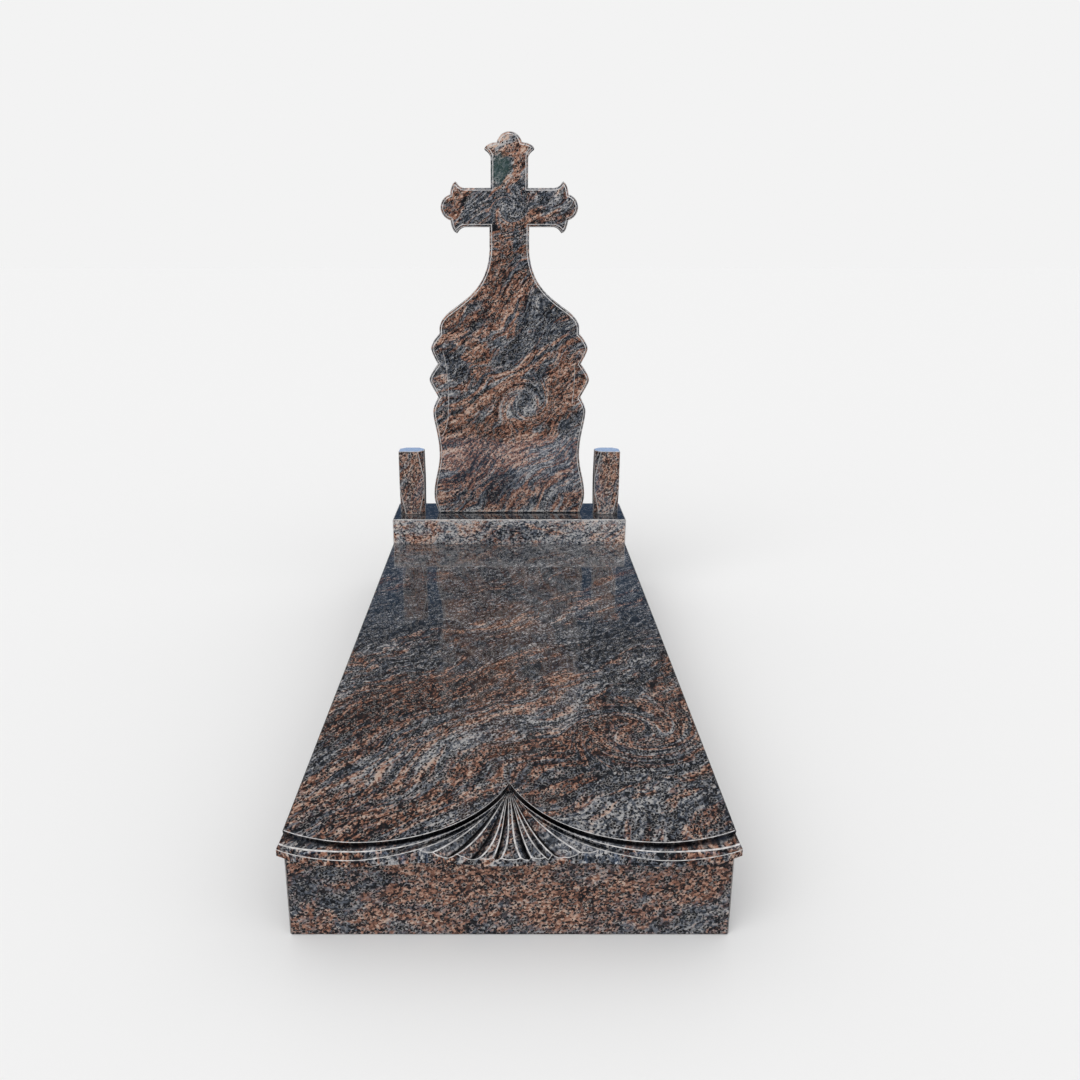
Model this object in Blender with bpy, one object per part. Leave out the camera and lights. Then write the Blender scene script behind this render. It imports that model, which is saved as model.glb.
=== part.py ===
"""Cross headstone with a draped cover slab, in polished granite.

A single-grave monument: four kerb panels carry a cover slab and a plinth, and
the plinth carries a cross-shaped headstone between two short posts. Metres,
+Z up, the front faces -Y, and the ground is at Z = 0.
"""
import math
from collections import namedtuple

import bmesh
import bpy
from mathutils import Vector
from mathutils.geometry import interpolate_bezier

# Whole monument
HALF_LENGTH = 1.125
JOINT = 0.0003

# Kerb panels
KERB_WIDTH = 0.920
KERB_HEIGHT = 0.200
KERB_THICK = 0.060
KERB_FRONT_Y = -1.080
KERB_REAR_Y = 1.120
KERB_ARRIS = 0.003

# Cover slab
LEDGER_TOP = 0.240
LEDGER_THICK = 0.040
LEDGER_HALF_WIDTH = 0.465
LEDGER_ARRIS = 0.003
LEDGER_LENGTH = 2.000

# Plinth across the head end
PLINTH_WIDTH = 0.930
PLINTH_DEPTH = 0.250
PLINTH_TOP = 0.340
PLINTH_ARRIS = 0.0035

# Headstone
STONE_FRONT_Y = 0.975
STONE_THICK = 0.080
FRONT_CHAMFER = 0.0095
FRONT_CHAMFER_DEPTH = 0.006
BACK_CHAMFER = 0.004
SHAFT_HALF = 0.0751
ARM_HEIGHT = 1.179
ARM_HALF = 0.069
ARM_FLARE_X = 0.165
HEAD_HALF = 0.0697
HEAD_FLARE_Z = 1.350

# Trefoil end of an arm, measured from where the arm starts to flare
TIP_ALONG = 0.0335
TIP_HALF = 0.0910
CLEFT_ALONG = 0.0555
CLEFT_HALF = 0.0458
LOBE_ALONG = 0.0915

# Posts
POST_WIDTH = 0.100
POST_DEPTH = 0.080
POST_HEIGHT = 0.260
POST_X = 0.391
POST_FRONT_Y = 0.947
POST_FOOT_CUT = 0.023
POST_HEAD_CUT = 0.024
POST_FOOT_CUT_END = 0.42
POST_HEAD_CUT_START = 0.56

# Drapery: points along each swag, and points along each pleat of the fan
SWAG_POINTS = 40
PLEAT_POINTS = 13
GATHER_SHARE = 0.375
PIT_DEPTH = 0.014
PIT_BEHIND_COLLAR = 0.008
COLLAR_HALF = 0.0075
COLLAR_BACK = 0.2225

# A swag's fold in plan, on the right half. x is measured from the middle and
# back from the foremost lip. The fold leaves the gather with a heading in
# degrees, comes forward to its lowest point and sweeps back to the side.
# depths are below the top at the gather, a quarter, half way, low and end.
Swag = namedtuple("Swag", "start heading reach low low_reach end depths")

SWAGS = (
    Swag((0.0000, 0.2455), 22.8, 0.0306, (0.3122, 0.0262), 0.2314, (0.4620, 0.0672),
         (0.0, 0.0, 0.0, 0.0, 0.0)),
    Swag((0.0048, 0.2335), 5.0, 0.0301, (0.3052, 0.0236), 0.2089, (0.4650, 0.0614),
         (0.0090, 0.0100, 0.0100, 0.0100, 0.0100)),
    Swag((0.0070, 0.2262), 5.0, 0.0327, (0.3160, 0.0123), 0.1978, (0.4660, 0.0367),
         (0.0098, 0.0108, 0.0115, 0.0120, 0.0115)),
    Swag((0.0078, 0.2245), 5.0, 0.0627, (0.3270, 0.0053), 0.1719, (0.4690, 0.0364),
         (0.0110, 0.0175, 0.0200, 0.0220, 0.0205)),
    Swag((0.0084, 0.2230), 9.1, 0.0578, (0.3232, 0.0019), 0.2141, (0.4740, 0.0389),
         (0.0105, 0.0140, 0.0195, 0.0260, 0.0255)),
)
DEPTH_STATIONS = (0.0, 0.10, 0.20, 0.30, 0.474)
END_REACH = 0.048

# A fold of the fan: where its foot meets the lip, how deep it lies there, and
# its headings in degrees at the gather and at the foot, left to right. Ridges
# and valleys alternate, with a hollow between the two ridges of a pleat.
Pleat = namedtuple("Pleat", "foot_x foot_back depth heading foot_heading")

FAN = (
    Pleat(-0.1535, 0.0198, 0.0180, -20.0, -60.0),
    Pleat(-0.1380, 0.0172, 0.0250, -20.5, -53.0),
    Pleat(-0.1230, 0.0152, 0.0275, -21.0, -46.0),
    Pleat(-0.1049, 0.0146, 0.0180, -18.0, -50.0),
    Pleat(-0.0910, 0.0118, 0.0225, -17.0, -44.0),
    Pleat(-0.0765, 0.0105, 0.0280, -16.0, -37.0),
    Pleat(-0.0584, 0.0072, 0.0210, -12.5, -41.0),
    Pleat(-0.0450, 0.0066, 0.0240, -12.0, -30.0),
    Pleat(-0.0321, 0.0074, 0.0215, -11.0, -20.0),
    Pleat(-0.0272, 0.0085, 0.0285, -5.0, -14.0),
    Pleat(-0.0161, 0.0069, 0.0220, -4.0, -22.0),
    Pleat(0.0035, 0.0055, 0.0245, 1.0, 1.0),
    Pleat(0.0229, 0.0074, 0.0220, 7.0, 20.0),
    Pleat(0.0395, 0.0092, 0.0285, 8.5, 18.0),
    Pleat(0.0436, 0.0090, 0.0215, 12.0, 20.0),
    Pleat(0.0570, 0.0080, 0.0240, 12.0, 30.0),
    Pleat(0.0716, 0.0088, 0.0210, 12.5, 38.0),
    Pleat(0.0785, 0.0110, 0.0280, 14.0, 31.0),
    Pleat(0.0854, 0.0140, 0.0180, 15.0, 37.0),
    Pleat(0.0980, 0.0145, 0.0262, 17.0, 42.0),
    Pleat(0.1110, 0.0150, 0.0255, 19.0, 46.0),
    Pleat(0.1265, 0.0170, 0.0250, 19.5, 48.0),
    Pleat(0.1418, 0.0198, 0.0180, 19.0, 52.0),
)
PLEAT_REACH = 0.060
PLEAT_FOOT_REACH = 0.063

# Lower front edge of the cover slab in plan: x from the middle, back from the
# foremost lip. It follows the swags' lowest points and the fan.
HEM_FOOT = ((0.0, 0.0034), (0.06, 0.0050), (0.11, 0.0110), (0.18, 0.0150), (0.25, 0.0065),
            (0.3265, 0.0), (0.40, 0.0095), (0.44, 0.0215), (0.474, 0.0385))
HEM_BACK = 0.090

# Half outline of the headstone below the cross, as width and height above the
# plinth, with the outline's direction in degrees where it arrives and leaves,
# and how far its curve keeps that direction as a share of the distance.
Turn = namedtuple("Turn", "width height arrive leave reach_in reach_out points")

BODY = (
    Turn(0.2877, 0.000, 90.0, 75.0, 0.36, 0.36, 1),
    Turn(0.3044, 0.075, 90.0, 90.0, 0.40, 0.36, 8),
    Turn(0.2800, 0.248, 90.0, 90.0, 0.40, 0.40, 12),
    Turn(0.3022, 0.414, 90.0, 90.0, 0.22, 0.30, 12),
    Turn(0.2800, 0.470, 122.0, 66.0, 0.30, 0.34, 7),
    Turn(0.3130, 0.540, 90.0, 90.0, 0.20, 0.26, 9),
    Turn(0.2790, 0.601, 124.0, 62.0, 0.36, 0.34, 8),
    Turn(0.3042, 0.661, 90.0, 90.0, 0.22, 0.26, 8),
    Turn(0.2705, 0.7165, 137.0, 90.0, 0.30, 0.30, 8),
    Turn(0.2705, 0.735, 90.0, 90.0, 0.30, 0.42, 1),
    Turn(0.2218, 0.8040, 145.0, 145.0, 0.22, 0.33, 10),
    Turn(SHAFT_HALF, 1.042, 90.0, 90.0, 0.47, 0.30, 14),
    Turn(SHAFT_HALF, ARM_HEIGHT - ARM_HALF, 90.0, 0.0, 0.30, 0.30, 1),
)


def clear_scene():
    """Remove whatever objects the scene holds."""
    for item in list(bpy.data.objects):
        bpy.data.objects.remove(item, do_unlink=True)


def granite(name, colour, roughness):
    """Return a polished stone material."""
    material = bpy.data.materials.new(name)
    material.use_nodes = True
    shader = material.node_tree.nodes["Principled BSDF"]
    shader.inputs["Base Color"].default_value = (*colour, 1.0)
    shader.inputs["Roughness"].default_value = roughness
    shader.inputs["Metallic"].default_value = 0.0
    return material


def finish(name, mesh_data, material, location=(0.0, 0.0, 0.0)):
    """Turn a finished bmesh into a named object with one material."""
    bmesh.ops.recalc_face_normals(mesh_data, faces=mesh_data.faces)
    mesh = bpy.data.meshes.new(name)
    mesh_data.to_mesh(mesh)
    mesh_data.free()
    mesh.materials.append(material)
    item = bpy.data.objects.new(name, mesh)
    item.location = location
    bpy.context.scene.collection.objects.link(item)
    return item


def block(name, size, centre, arris, material):
    """Make a sawn block with its edges lightly cut."""
    shape = bmesh.new()
    bmesh.ops.create_cube(shape, size=1.0)
    bmesh.ops.scale(shape, vec=size, verts=shape.verts)
    bmesh.ops.bevel(shape, geom=shape.edges[:], offset=arris, offset_type="OFFSET",
                    affect="EDGES", segments=1, profile=0.5, material=-1)
    return finish(name, shape, material, centre)


def bezier(start, start_handle, end_handle, end, count):
    """Return points along one cubic stretch, both ends included."""
    flat = [Vector((p[0], p[1])) for p in (start, start_handle, end_handle, end)]
    return [Vector((p.x, p.y)) for p in interpolate_bezier(*flat, count)]


def along(point, heading, distance):
    """Return the point a distance forward of another, turned to the side by a heading."""
    angle = math.radians(heading)
    return (point[0] + distance * math.sin(angle), point[1] - distance * math.cos(angle))


def reading(table, x):
    """Read a value from a table of (x, value) pairs along straight lines."""
    for (x0, v0), (x1, v1) in zip(table, table[1:]):
        if x <= x1:
            share = max(0.0, (x - x0) / (x1 - x0))
            return v0 + share * (v1 - v0)
    return table[-1][1]


def swag_stations():
    """Shares of a swag's width at which its folds are measured, gather to side."""
    inner = [GATHER_SHARE * i / (PLEAT_POINTS - 1) for i in range(PLEAT_POINTS)]
    rest = SWAG_POINTS - PLEAT_POINTS
    outer = [GATHER_SHARE + (1.0 - GATHER_SHARE) * (i + 1) / rest for i in range(rest)]
    return inner + outer


def swag_fold(swag, side):
    """Return a swag's fold from the gather to the slab's side, at real heights."""
    low_in = (swag.low[0] - swag.low_reach, swag.low[1])
    low_out = (swag.low[0] + END_REACH, swag.low[1])
    end_in = (swag.end[0] - 0.75 * END_REACH, swag.end[1] - 0.45 * END_REACH)
    heading_out = along(swag.start, swag.heading, swag.reach)
    inner = bezier(swag.start, heading_out, low_in, swag.low, 120)
    outer = bezier(swag.low, low_out, end_in, swag.end, 60)
    dense = [(p.x, p.y) for p in inner + outer[1:]]
    depths = list(zip(DEPTH_STATIONS, swag.depths))
    fold = []
    for share in swag_stations():
        x = swag.start[0] + share * (swag.end[0] - swag.start[0])
        height = LEDGER_TOP - reading(depths, x)
        fold.append(Vector((side * x, reading(dense, x) - HALF_LENGTH, height)))
    return fold


def pleat_fold(index):
    """Return one fold of the fan from the gather to its foot on the lip."""
    pleat = FAN[index]
    start_x = COLLAR_HALF * (2.0 * index / (len(FAN) - 1) - 1.0)
    bow = math.sqrt(max(0.0, 1.0 - (start_x / COLLAR_HALF) ** 2))
    start = (start_x, COLLAR_BACK - 0.003 * bow)
    foot = (pleat.foot_x, pleat.foot_back)
    out = along(start, pleat.heading, PLEAT_REACH)
    back = along(foot, pleat.foot_heading, -PLEAT_FOOT_REACH)
    line = bezier(start, out, back, foot, PLEAT_POINTS)
    first = 0.0105 + 0.25 * max(0.0, pleat.depth - 0.0220)
    fold = []
    for step, point in enumerate(line):
        share = step / (PLEAT_POINTS - 1)
        height = LEDGER_TOP - first - share * (pleat.depth - first)
        fold.append(Vector((point.x, point.y - HALF_LENGTH, height)))
    return fold


def chain(shape, points):
    """Lay a row of joined edges through the points and return the edges."""
    verts = [shape.verts.new(p) for p in points]
    return [shape.edges.new(pair) for pair in zip(verts, verts[1:])]


def skin(shape, first, second):
    """Stretch a surface between two rows of as many points."""
    edges = chain(shape, first) + chain(shape, second)
    bmesh.ops.bridge_loops(shape, edges=edges)


def drape(shape):
    """Build the carved front and return its arris, its lip and its gathered middle.

    The carving is two swags with the fan between them. Each row of points
    runs from the gather outwards.
    """
    left = [swag_fold(swag, -1.0) for swag in SWAGS]
    right = [swag_fold(swag, 1.0) for swag in SWAGS]
    for side in (left, right):
        for first, second in zip(side, side[1:]):
            skin(shape, first, second)
    fan = [left[-1][:PLEAT_POINTS]]
    fan += [pleat_fold(index) for index in range(len(FAN))]
    fan.append(right[-1][:PLEAT_POINTS])
    for first, second in zip(fan, fan[1:]):
        skin(shape, first, second)
    lip = left[-1][:PLEAT_POINTS - 1:-1]
    lip += [fold[-1] for fold in fan]
    lip += right[-1][PLEAT_POINTS:]
    arris = left[0][::-1] + right[0][1:]
    collar = [fold[0] for fold in left]
    collar += [fold[0] for fold in fan[1:-1]]
    collar += [fold[0] for fold in right[:0:-1]]
    return arris, lip, collar


def pit(shape, collar):
    """Sink the small hollow where all the folds are gathered."""
    face = shape.faces.new([shape.verts.new(p) for p in collar])
    poked = bmesh.ops.poke(shape, faces=[face])
    back = COLLAR_BACK + PIT_BEHIND_COLLAR - HALF_LENGTH
    poked["verts"][0].co = (0.0, back, LEDGER_TOP - PIT_DEPTH)


def straight_row(points, y, z, half):
    """Return a straight row across the slab with one point for each given one."""
    widest = max(abs(p.x) for p in points)
    return [Vector((p.x * half / widest, y, z)) for p in points]


def make_ledger(material):
    """Make the cover slab with its carved end."""
    shape = bmesh.new()
    arris, lip, collar = drape(shape)
    pit(shape, collar)
    half = LEDGER_HALF_WIDTH
    under = LEDGER_TOP - LEDGER_THICK
    edge = LEDGER_TOP - LEDGER_ARRIS
    head_y = LEDGER_LENGTH - HALF_LENGTH - JOINT
    hem_y = HEM_BACK - HALF_LENGTH
    hem = [Vector((p.x, reading(HEM_FOOT, abs(p.x)) - HALF_LENGTH, under)) for p in lip]
    top_back = straight_row(arris, head_y, LEDGER_TOP, half - LEDGER_ARRIS)
    under_front = straight_row(hem, hem_y, under, half)
    under_back = straight_row(hem, head_y, under, half)
    skin(shape, arris, top_back)
    skin(shape, lip, hem)
    skin(shape, hem, under_front)
    skin(shape, under_front, under_back)
    skin(shape, top_back, under_back)
    for end in (0, -1):
        side = math.copysign(half, arris[end].x)
        front = Vector((side, arris[end].y, edge))
        rear = Vector((side, head_y, edge))
        skin(shape, [arris[end], top_back[end]], [front, rear])
    bmesh.ops.remove_doubles(shape, verts=shape.verts, dist=1e-5)
    for sign in (-1.0, 1.0):
        gap = [e for e in shape.edges if e.is_boundary and e.verts[0].co.x * sign > 0.0]
        bmesh.ops.triangle_fill(shape, use_beauty=True, edges=gap)
    return finish("ledger", shape, material)


def ray(heading, distance):
    """Return a step in the outline's plane; 0 points outwards and 90 up."""
    angle = math.radians(heading)
    return Vector((distance * math.cos(angle), distance * math.sin(angle)))


def stretch(start, leave, reach_out, end, arrive, reach_in, count):
    """Return points along a curve that leaves and arrives at given headings."""
    start = Vector(start)
    end = Vector(end)
    span = (end - start).length
    out = start + ray(leave, reach_out * span)
    back = end - ray(arrive, reach_in * span)
    return bezier(start, out, back, end, count + 1)[1:]


def trefoil(count):
    """Return half of a trefoil end, from the flare to the lobe's top.

    The first number of each point runs along the arm and the second is the
    distance from the arm's middle.
    """
    tip = (TIP_ALONG, TIP_HALF)
    cleft = (CLEFT_ALONG, CLEFT_HALF)
    lobe = (LOBE_ALONG, 0.0)
    points = stretch((0.0, ARM_HALF), 0.0, 0.42, tip, 56.0, 0.30, count)
    points += stretch(tip, -18.0, 0.30, cleft, -82.0, 0.36, count)
    points += stretch(cleft, -16.0, 0.36, lobe, -90.0, 0.38, count + 1)
    return points


def half_outline():
    """Return the headstone's right half from its base to its top."""
    points = [Vector((BODY[0].width, BODY[0].height))]
    for last, turn in zip(BODY, BODY[1:]):
        here = (last.width, last.height)
        there = (turn.width, turn.height)
        points += stretch(here, last.leave, last.reach_out, there, turn.arrive,
                          turn.reach_in, turn.points)
    ending = trefoil(6)
    lower = [Vector((ARM_FLARE_X + p.x, ARM_HEIGHT - p.y)) for p in ending]
    upper = [Vector((p.x, 2.0 * ARM_HEIGHT - p.y)) for p in lower[-2::-1]]
    points.append(Vector((ARM_FLARE_X, ARM_HEIGHT - ARM_HALF)))
    points += lower + upper
    points.append(Vector((ARM_FLARE_X, ARM_HEIGHT + ARM_HALF)))
    points.append(Vector((HEAD_HALF, ARM_HEIGHT + ARM_HALF)))
    points.append(Vector((HEAD_HALF, HEAD_FLARE_Z)))
    points += [Vector((p.y * HEAD_HALF / ARM_HALF, HEAD_FLARE_Z + p.x)) for p in ending]
    return points


def outline():
    """Return the headstone's whole outline, anticlockwise from the front."""
    right = half_outline()
    left = [Vector((-p.x, p.y)) for p in right[-2::-1]]
    return right + left


def inset(points, width):
    """Move an outline inwards, keeping one new point for each old one.

    Where the moved outline would cross itself, at a pointed tip, the points
    between are drawn together on the crossing.
    """
    count = len(points)
    moved = []
    for i, here in enumerate(points):
        before = (here - points[i - 1]).normalized()
        after = (points[(i + 1) % count] - here).normalized()
        normal = (before + after).orthogonal().normalized()
        cosine = max(0.35, abs(normal.dot(before.orthogonal())))
        moved.append(here + normal * (width / cosine))
    good = [clearance(points, p) > 0.97 * width for p in moved]
    i = 0
    while i < count:
        if good[i] or not good[i - 1]:
            i += 1
            continue
        first = i
        last = i
        while not good[(last + 1) % count]:
            last += 1
        a1, a0 = moved[first - 1], moved[first - 2]
        b0, b1 = moved[(last + 1) % count], moved[(last + 2) % count]
        crossing = meeting(a0, a1, b0, b1)
        for j in range(first, last + 1):
            moved[j % count] = crossing
        i = last + 1
    return moved


def clearance(points, place):
    """Return how far a place lies from an outline."""
    nearest = 1.0
    for i, here in enumerate(points):
        there = points[(i + 1) % len(points)]
        line = there - here
        share = (place - here).dot(line) / line.length_squared
        foot = here + line * min(1.0, max(0.0, share))
        nearest = min(nearest, (place - foot).length)
    return nearest


def meeting(a0, a1, b0, b1):
    """Return where two straight lines meet."""
    first = a1 - a0
    second = b1 - b0
    turn = first.x * second.y - first.y * second.x
    if abs(turn) < 1e-9:
        return (a1 + b0) / 2.0
    gap = b0 - a0
    share = (gap.x * second.y - gap.y * second.x) / turn
    return a0 + first * share


def ring(shape, points):
    """Lay a closed row of edges through the points and return its corners."""
    verts = [shape.verts.new(p) for p in points]
    for pair in zip(verts, verts[1:] + verts[:1]):
        shape.edges.new(pair)
    return verts


def grow(shape, verts, points):
    """Extrude a ring's edges and move the new ring onto the points."""
    edges = [shape.edges.get(pair) for pair in zip(verts, verts[1:] + verts[:1])]
    grown = bmesh.ops.extrude_edge_only(shape, edges=edges)
    known = set(verts)
    partner = {}
    for vert in [g for g in grown["geom"] if isinstance(g, bmesh.types.BMVert)]:
        for edge in vert.link_edges:
            if edge.other_vert(vert) in known:
                partner[edge.other_vert(vert)] = vert
    following = [partner[vert] for vert in verts]
    for vert, point in zip(following, points):
        vert.co = point
    return following


def loft(shape, rings):
    """Join rings of as many points and close both ends."""
    verts = ring(shape, rings[0])
    for points in rings[1:]:
        verts = grow(shape, verts, points)
    bmesh.ops.remove_doubles(shape, verts=shape.verts, dist=1e-5)
    bmesh.ops.holes_fill(shape, edges=shape.edges, sides=0)


def make_headstone(material):
    """Cut the slab to the outline and chamfer both faces all round."""
    edge = outline()
    front = STONE_FRONT_Y
    back = STONE_FRONT_Y + STONE_THICK
    levels = (
        (front, inset(edge, FRONT_CHAMFER)),
        (front + FRONT_CHAMFER_DEPTH, edge),
        (back - BACK_CHAMFER, edge),
        (back, inset(edge, BACK_CHAMFER)),
    )
    base = PLINTH_TOP + JOINT
    shape = bmesh.new()
    loft(shape, [[Vector((p.x, y, base + p.y)) for p in points] for y, points in levels])
    return finish("headstone", shape, material)


def post_ring(height, cuts):
    """Return a rectangle with its corners cut, anticlockwise from the front left."""
    half_x = POST_WIDTH / 2.0
    half_y = POST_DEPTH / 2.0
    corners = ((-1.0, -1.0), (1.0, -1.0), (1.0, 1.0), (-1.0, 1.0))
    points = []
    for (x, y), cut in zip(corners, cuts):
        along_x = Vector((x * (half_x - cut), y * half_y, height))
        along_y = Vector((x * half_x, y * (half_y - cut), height))
        points += [along_y, along_x] if x == y else [along_x, along_y]
    return points


def make_post(name, side, material):
    """Make a short post: corners cut off at the foot and again at the head.

    The cuts taper out towards the middle of the post. The outer front corner
    keeps its edge at the head.
    """
    foot = (POST_FOOT_CUT,) * 4
    waist = (0.0,) * 4
    head = [POST_HEAD_CUT] * 4
    head[1 if side > 0.0 else 0] = 0.0
    levels = ((0.0, foot), (POST_FOOT_CUT_END, waist), (POST_HEAD_CUT_START, waist), (1.0, head))
    shape = bmesh.new()
    loft(shape, [post_ring(share * POST_HEIGHT, cuts) for share, cuts in levels])
    centre_y = POST_FRONT_Y + POST_DEPTH / 2.0
    return finish(name, shape, material, (side * POST_X, centre_y, PLINTH_TOP + JOINT))


def make_kerb(material):
    """Make the four panels that stand on the ground and carry the slabs."""
    half = KERB_WIDTH / 2.0
    height = KERB_HEIGHT - JOINT
    middle_z = height / 2.0
    across = (KERB_WIDTH, KERB_THICK, height)
    front_y = KERB_FRONT_Y + KERB_THICK / 2.0
    rear_y = KERB_REAR_Y - KERB_THICK / 2.0
    block("kerb_front", across, (0.0, front_y, middle_z), KERB_ARRIS, material)
    block("kerb_rear", across, (0.0, rear_y, middle_z), KERB_ARRIS, material)
    length = KERB_REAR_Y - KERB_FRONT_Y - 2.0 * (KERB_THICK + JOINT)
    side_y = (KERB_REAR_Y + KERB_FRONT_Y) / 2.0
    side_x = half - KERB_THICK / 2.0
    for name, side in (("kerb_left", -1.0), ("kerb_right", 1.0)):
        centre = (side * side_x, side_y, middle_z)
        block(name, (KERB_THICK, length, height), centre, KERB_ARRIS, material)


def make_plinth(material):
    """Make the block across the head end that carries the headstone and posts."""
    height = PLINTH_TOP - KERB_HEIGHT
    centre = (0.0, HALF_LENGTH - PLINTH_DEPTH / 2.0, KERB_HEIGHT + height / 2.0)
    block("plinth", (PLINTH_WIDTH, PLINTH_DEPTH, height), centre, PLINTH_ARRIS, material)


def main():
    """Build every stone of the monument."""
    clear_scene()
    face = granite("kerb_granite", (0.124, 0.094, 0.087), 0.16)
    slab = granite("ledger_granite", (0.115, 0.100, 0.098), 0.08)
    step = granite("plinth_granite", (0.175, 0.156, 0.156), 0.10)
    stone = granite("headstone_granite", (0.140, 0.112, 0.108), 0.10)
    post = granite("post_granite", (0.152, 0.112, 0.105), 0.12)
    make_kerb(face)
    make_ledger(slab)
    make_plinth(step)
    make_headstone(stone)
    make_post("post_left", -1.0, post)
    make_post("post_right", 1.0, post)


main()
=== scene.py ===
"""Cross headstone with a draped cover slab, in polished granite.

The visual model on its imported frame. Metres, +Z up, the front faces -Y, and
the ground is at Z = 0.
"""
import logging
import math
from dataclasses import dataclass, replace
from enum import Enum
from typing import Any, Iterable, Optional, Sequence, Union

import bmesh
import bpy
from bmesh.types import BMEdge, BMFace, BMVert
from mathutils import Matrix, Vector
from mathutils.geometry import interpolate_bezier


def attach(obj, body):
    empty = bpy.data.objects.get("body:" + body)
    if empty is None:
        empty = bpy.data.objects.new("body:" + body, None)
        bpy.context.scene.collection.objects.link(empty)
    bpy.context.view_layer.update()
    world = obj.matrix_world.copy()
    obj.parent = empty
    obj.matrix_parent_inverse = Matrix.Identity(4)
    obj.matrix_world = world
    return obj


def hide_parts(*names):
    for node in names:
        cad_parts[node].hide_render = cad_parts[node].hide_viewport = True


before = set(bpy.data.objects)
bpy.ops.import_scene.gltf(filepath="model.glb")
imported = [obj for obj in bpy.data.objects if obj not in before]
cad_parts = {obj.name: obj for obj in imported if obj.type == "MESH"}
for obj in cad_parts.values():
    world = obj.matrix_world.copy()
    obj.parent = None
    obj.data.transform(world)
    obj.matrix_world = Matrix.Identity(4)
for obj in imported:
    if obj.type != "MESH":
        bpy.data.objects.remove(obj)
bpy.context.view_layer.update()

LOG = logging.getLogger("monument")
Colour = tuple[float, float, float]
Point = tuple[float, float]
Value = Union[float, "Signal"]

STONE_SLOT = 0
ARRIS_SLOT = 1
FACET_SLOT = 2
JOINT = 0.0003
SHARP_ANGLE = math.radians(24.0)
FLAT_ANGLE = math.radians(1.0)
WELD_GAP = 1e-5
# The mesh layer of painted shade: how dark the carving's risers, grooves, valleys and pit are
# painted, from 0 to 1.
SHADE_LAYER = "painted_shade"


class Facing(Enum):
    """How a piece's main face lies; the value turns its coordinates onto the face."""

    UPRIGHT = (-90.0, 0.0, 0.0)
    LYING = (0.0, 0.0, 0.0)
    SIDEWAYS = (-90.0, -90.0, 0.0)


class Signal:
    """An output socket of a recipe, on which sums can be written."""

    def __init__(self, recipe: "Recipe", socket: bpy.types.NodeSocket) -> None:
        """Keep the socket and the recipe that it belongs to."""
        self.recipe = recipe
        self.socket = socket

    def __add__(self, other: Value) -> "Signal":
        """Add a value."""
        return self.recipe.math("ADD", self, other)

    __radd__ = __add__

    def __sub__(self, other: Value) -> "Signal":
        """Take a value away."""
        return self.recipe.math("SUBTRACT", self, other)

    def __rsub__(self, other: Value) -> "Signal":
        """Take this from a value."""
        return self.recipe.math("SUBTRACT", other, self)

    def __mul__(self, other: Value) -> "Signal":
        """Multiply by a value."""
        return self.recipe.math("MULTIPLY", self, other)

    __rmul__ = __mul__

    def also(self, output: Union[int, str]) -> "Signal":
        """Return another output of the same node."""
        return Signal(self.recipe, self.socket.node.outputs[output])

    def rise(self, low: float, high: float) -> "Signal":
        """Go smoothly from 0 at low to 1 at high."""
        return self.recipe.node("ShaderNodeMapRange", {"interpolation_type": "SMOOTHSTEP"},
                                {"Value": self, "From Min": low, "From Max": high})


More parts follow.
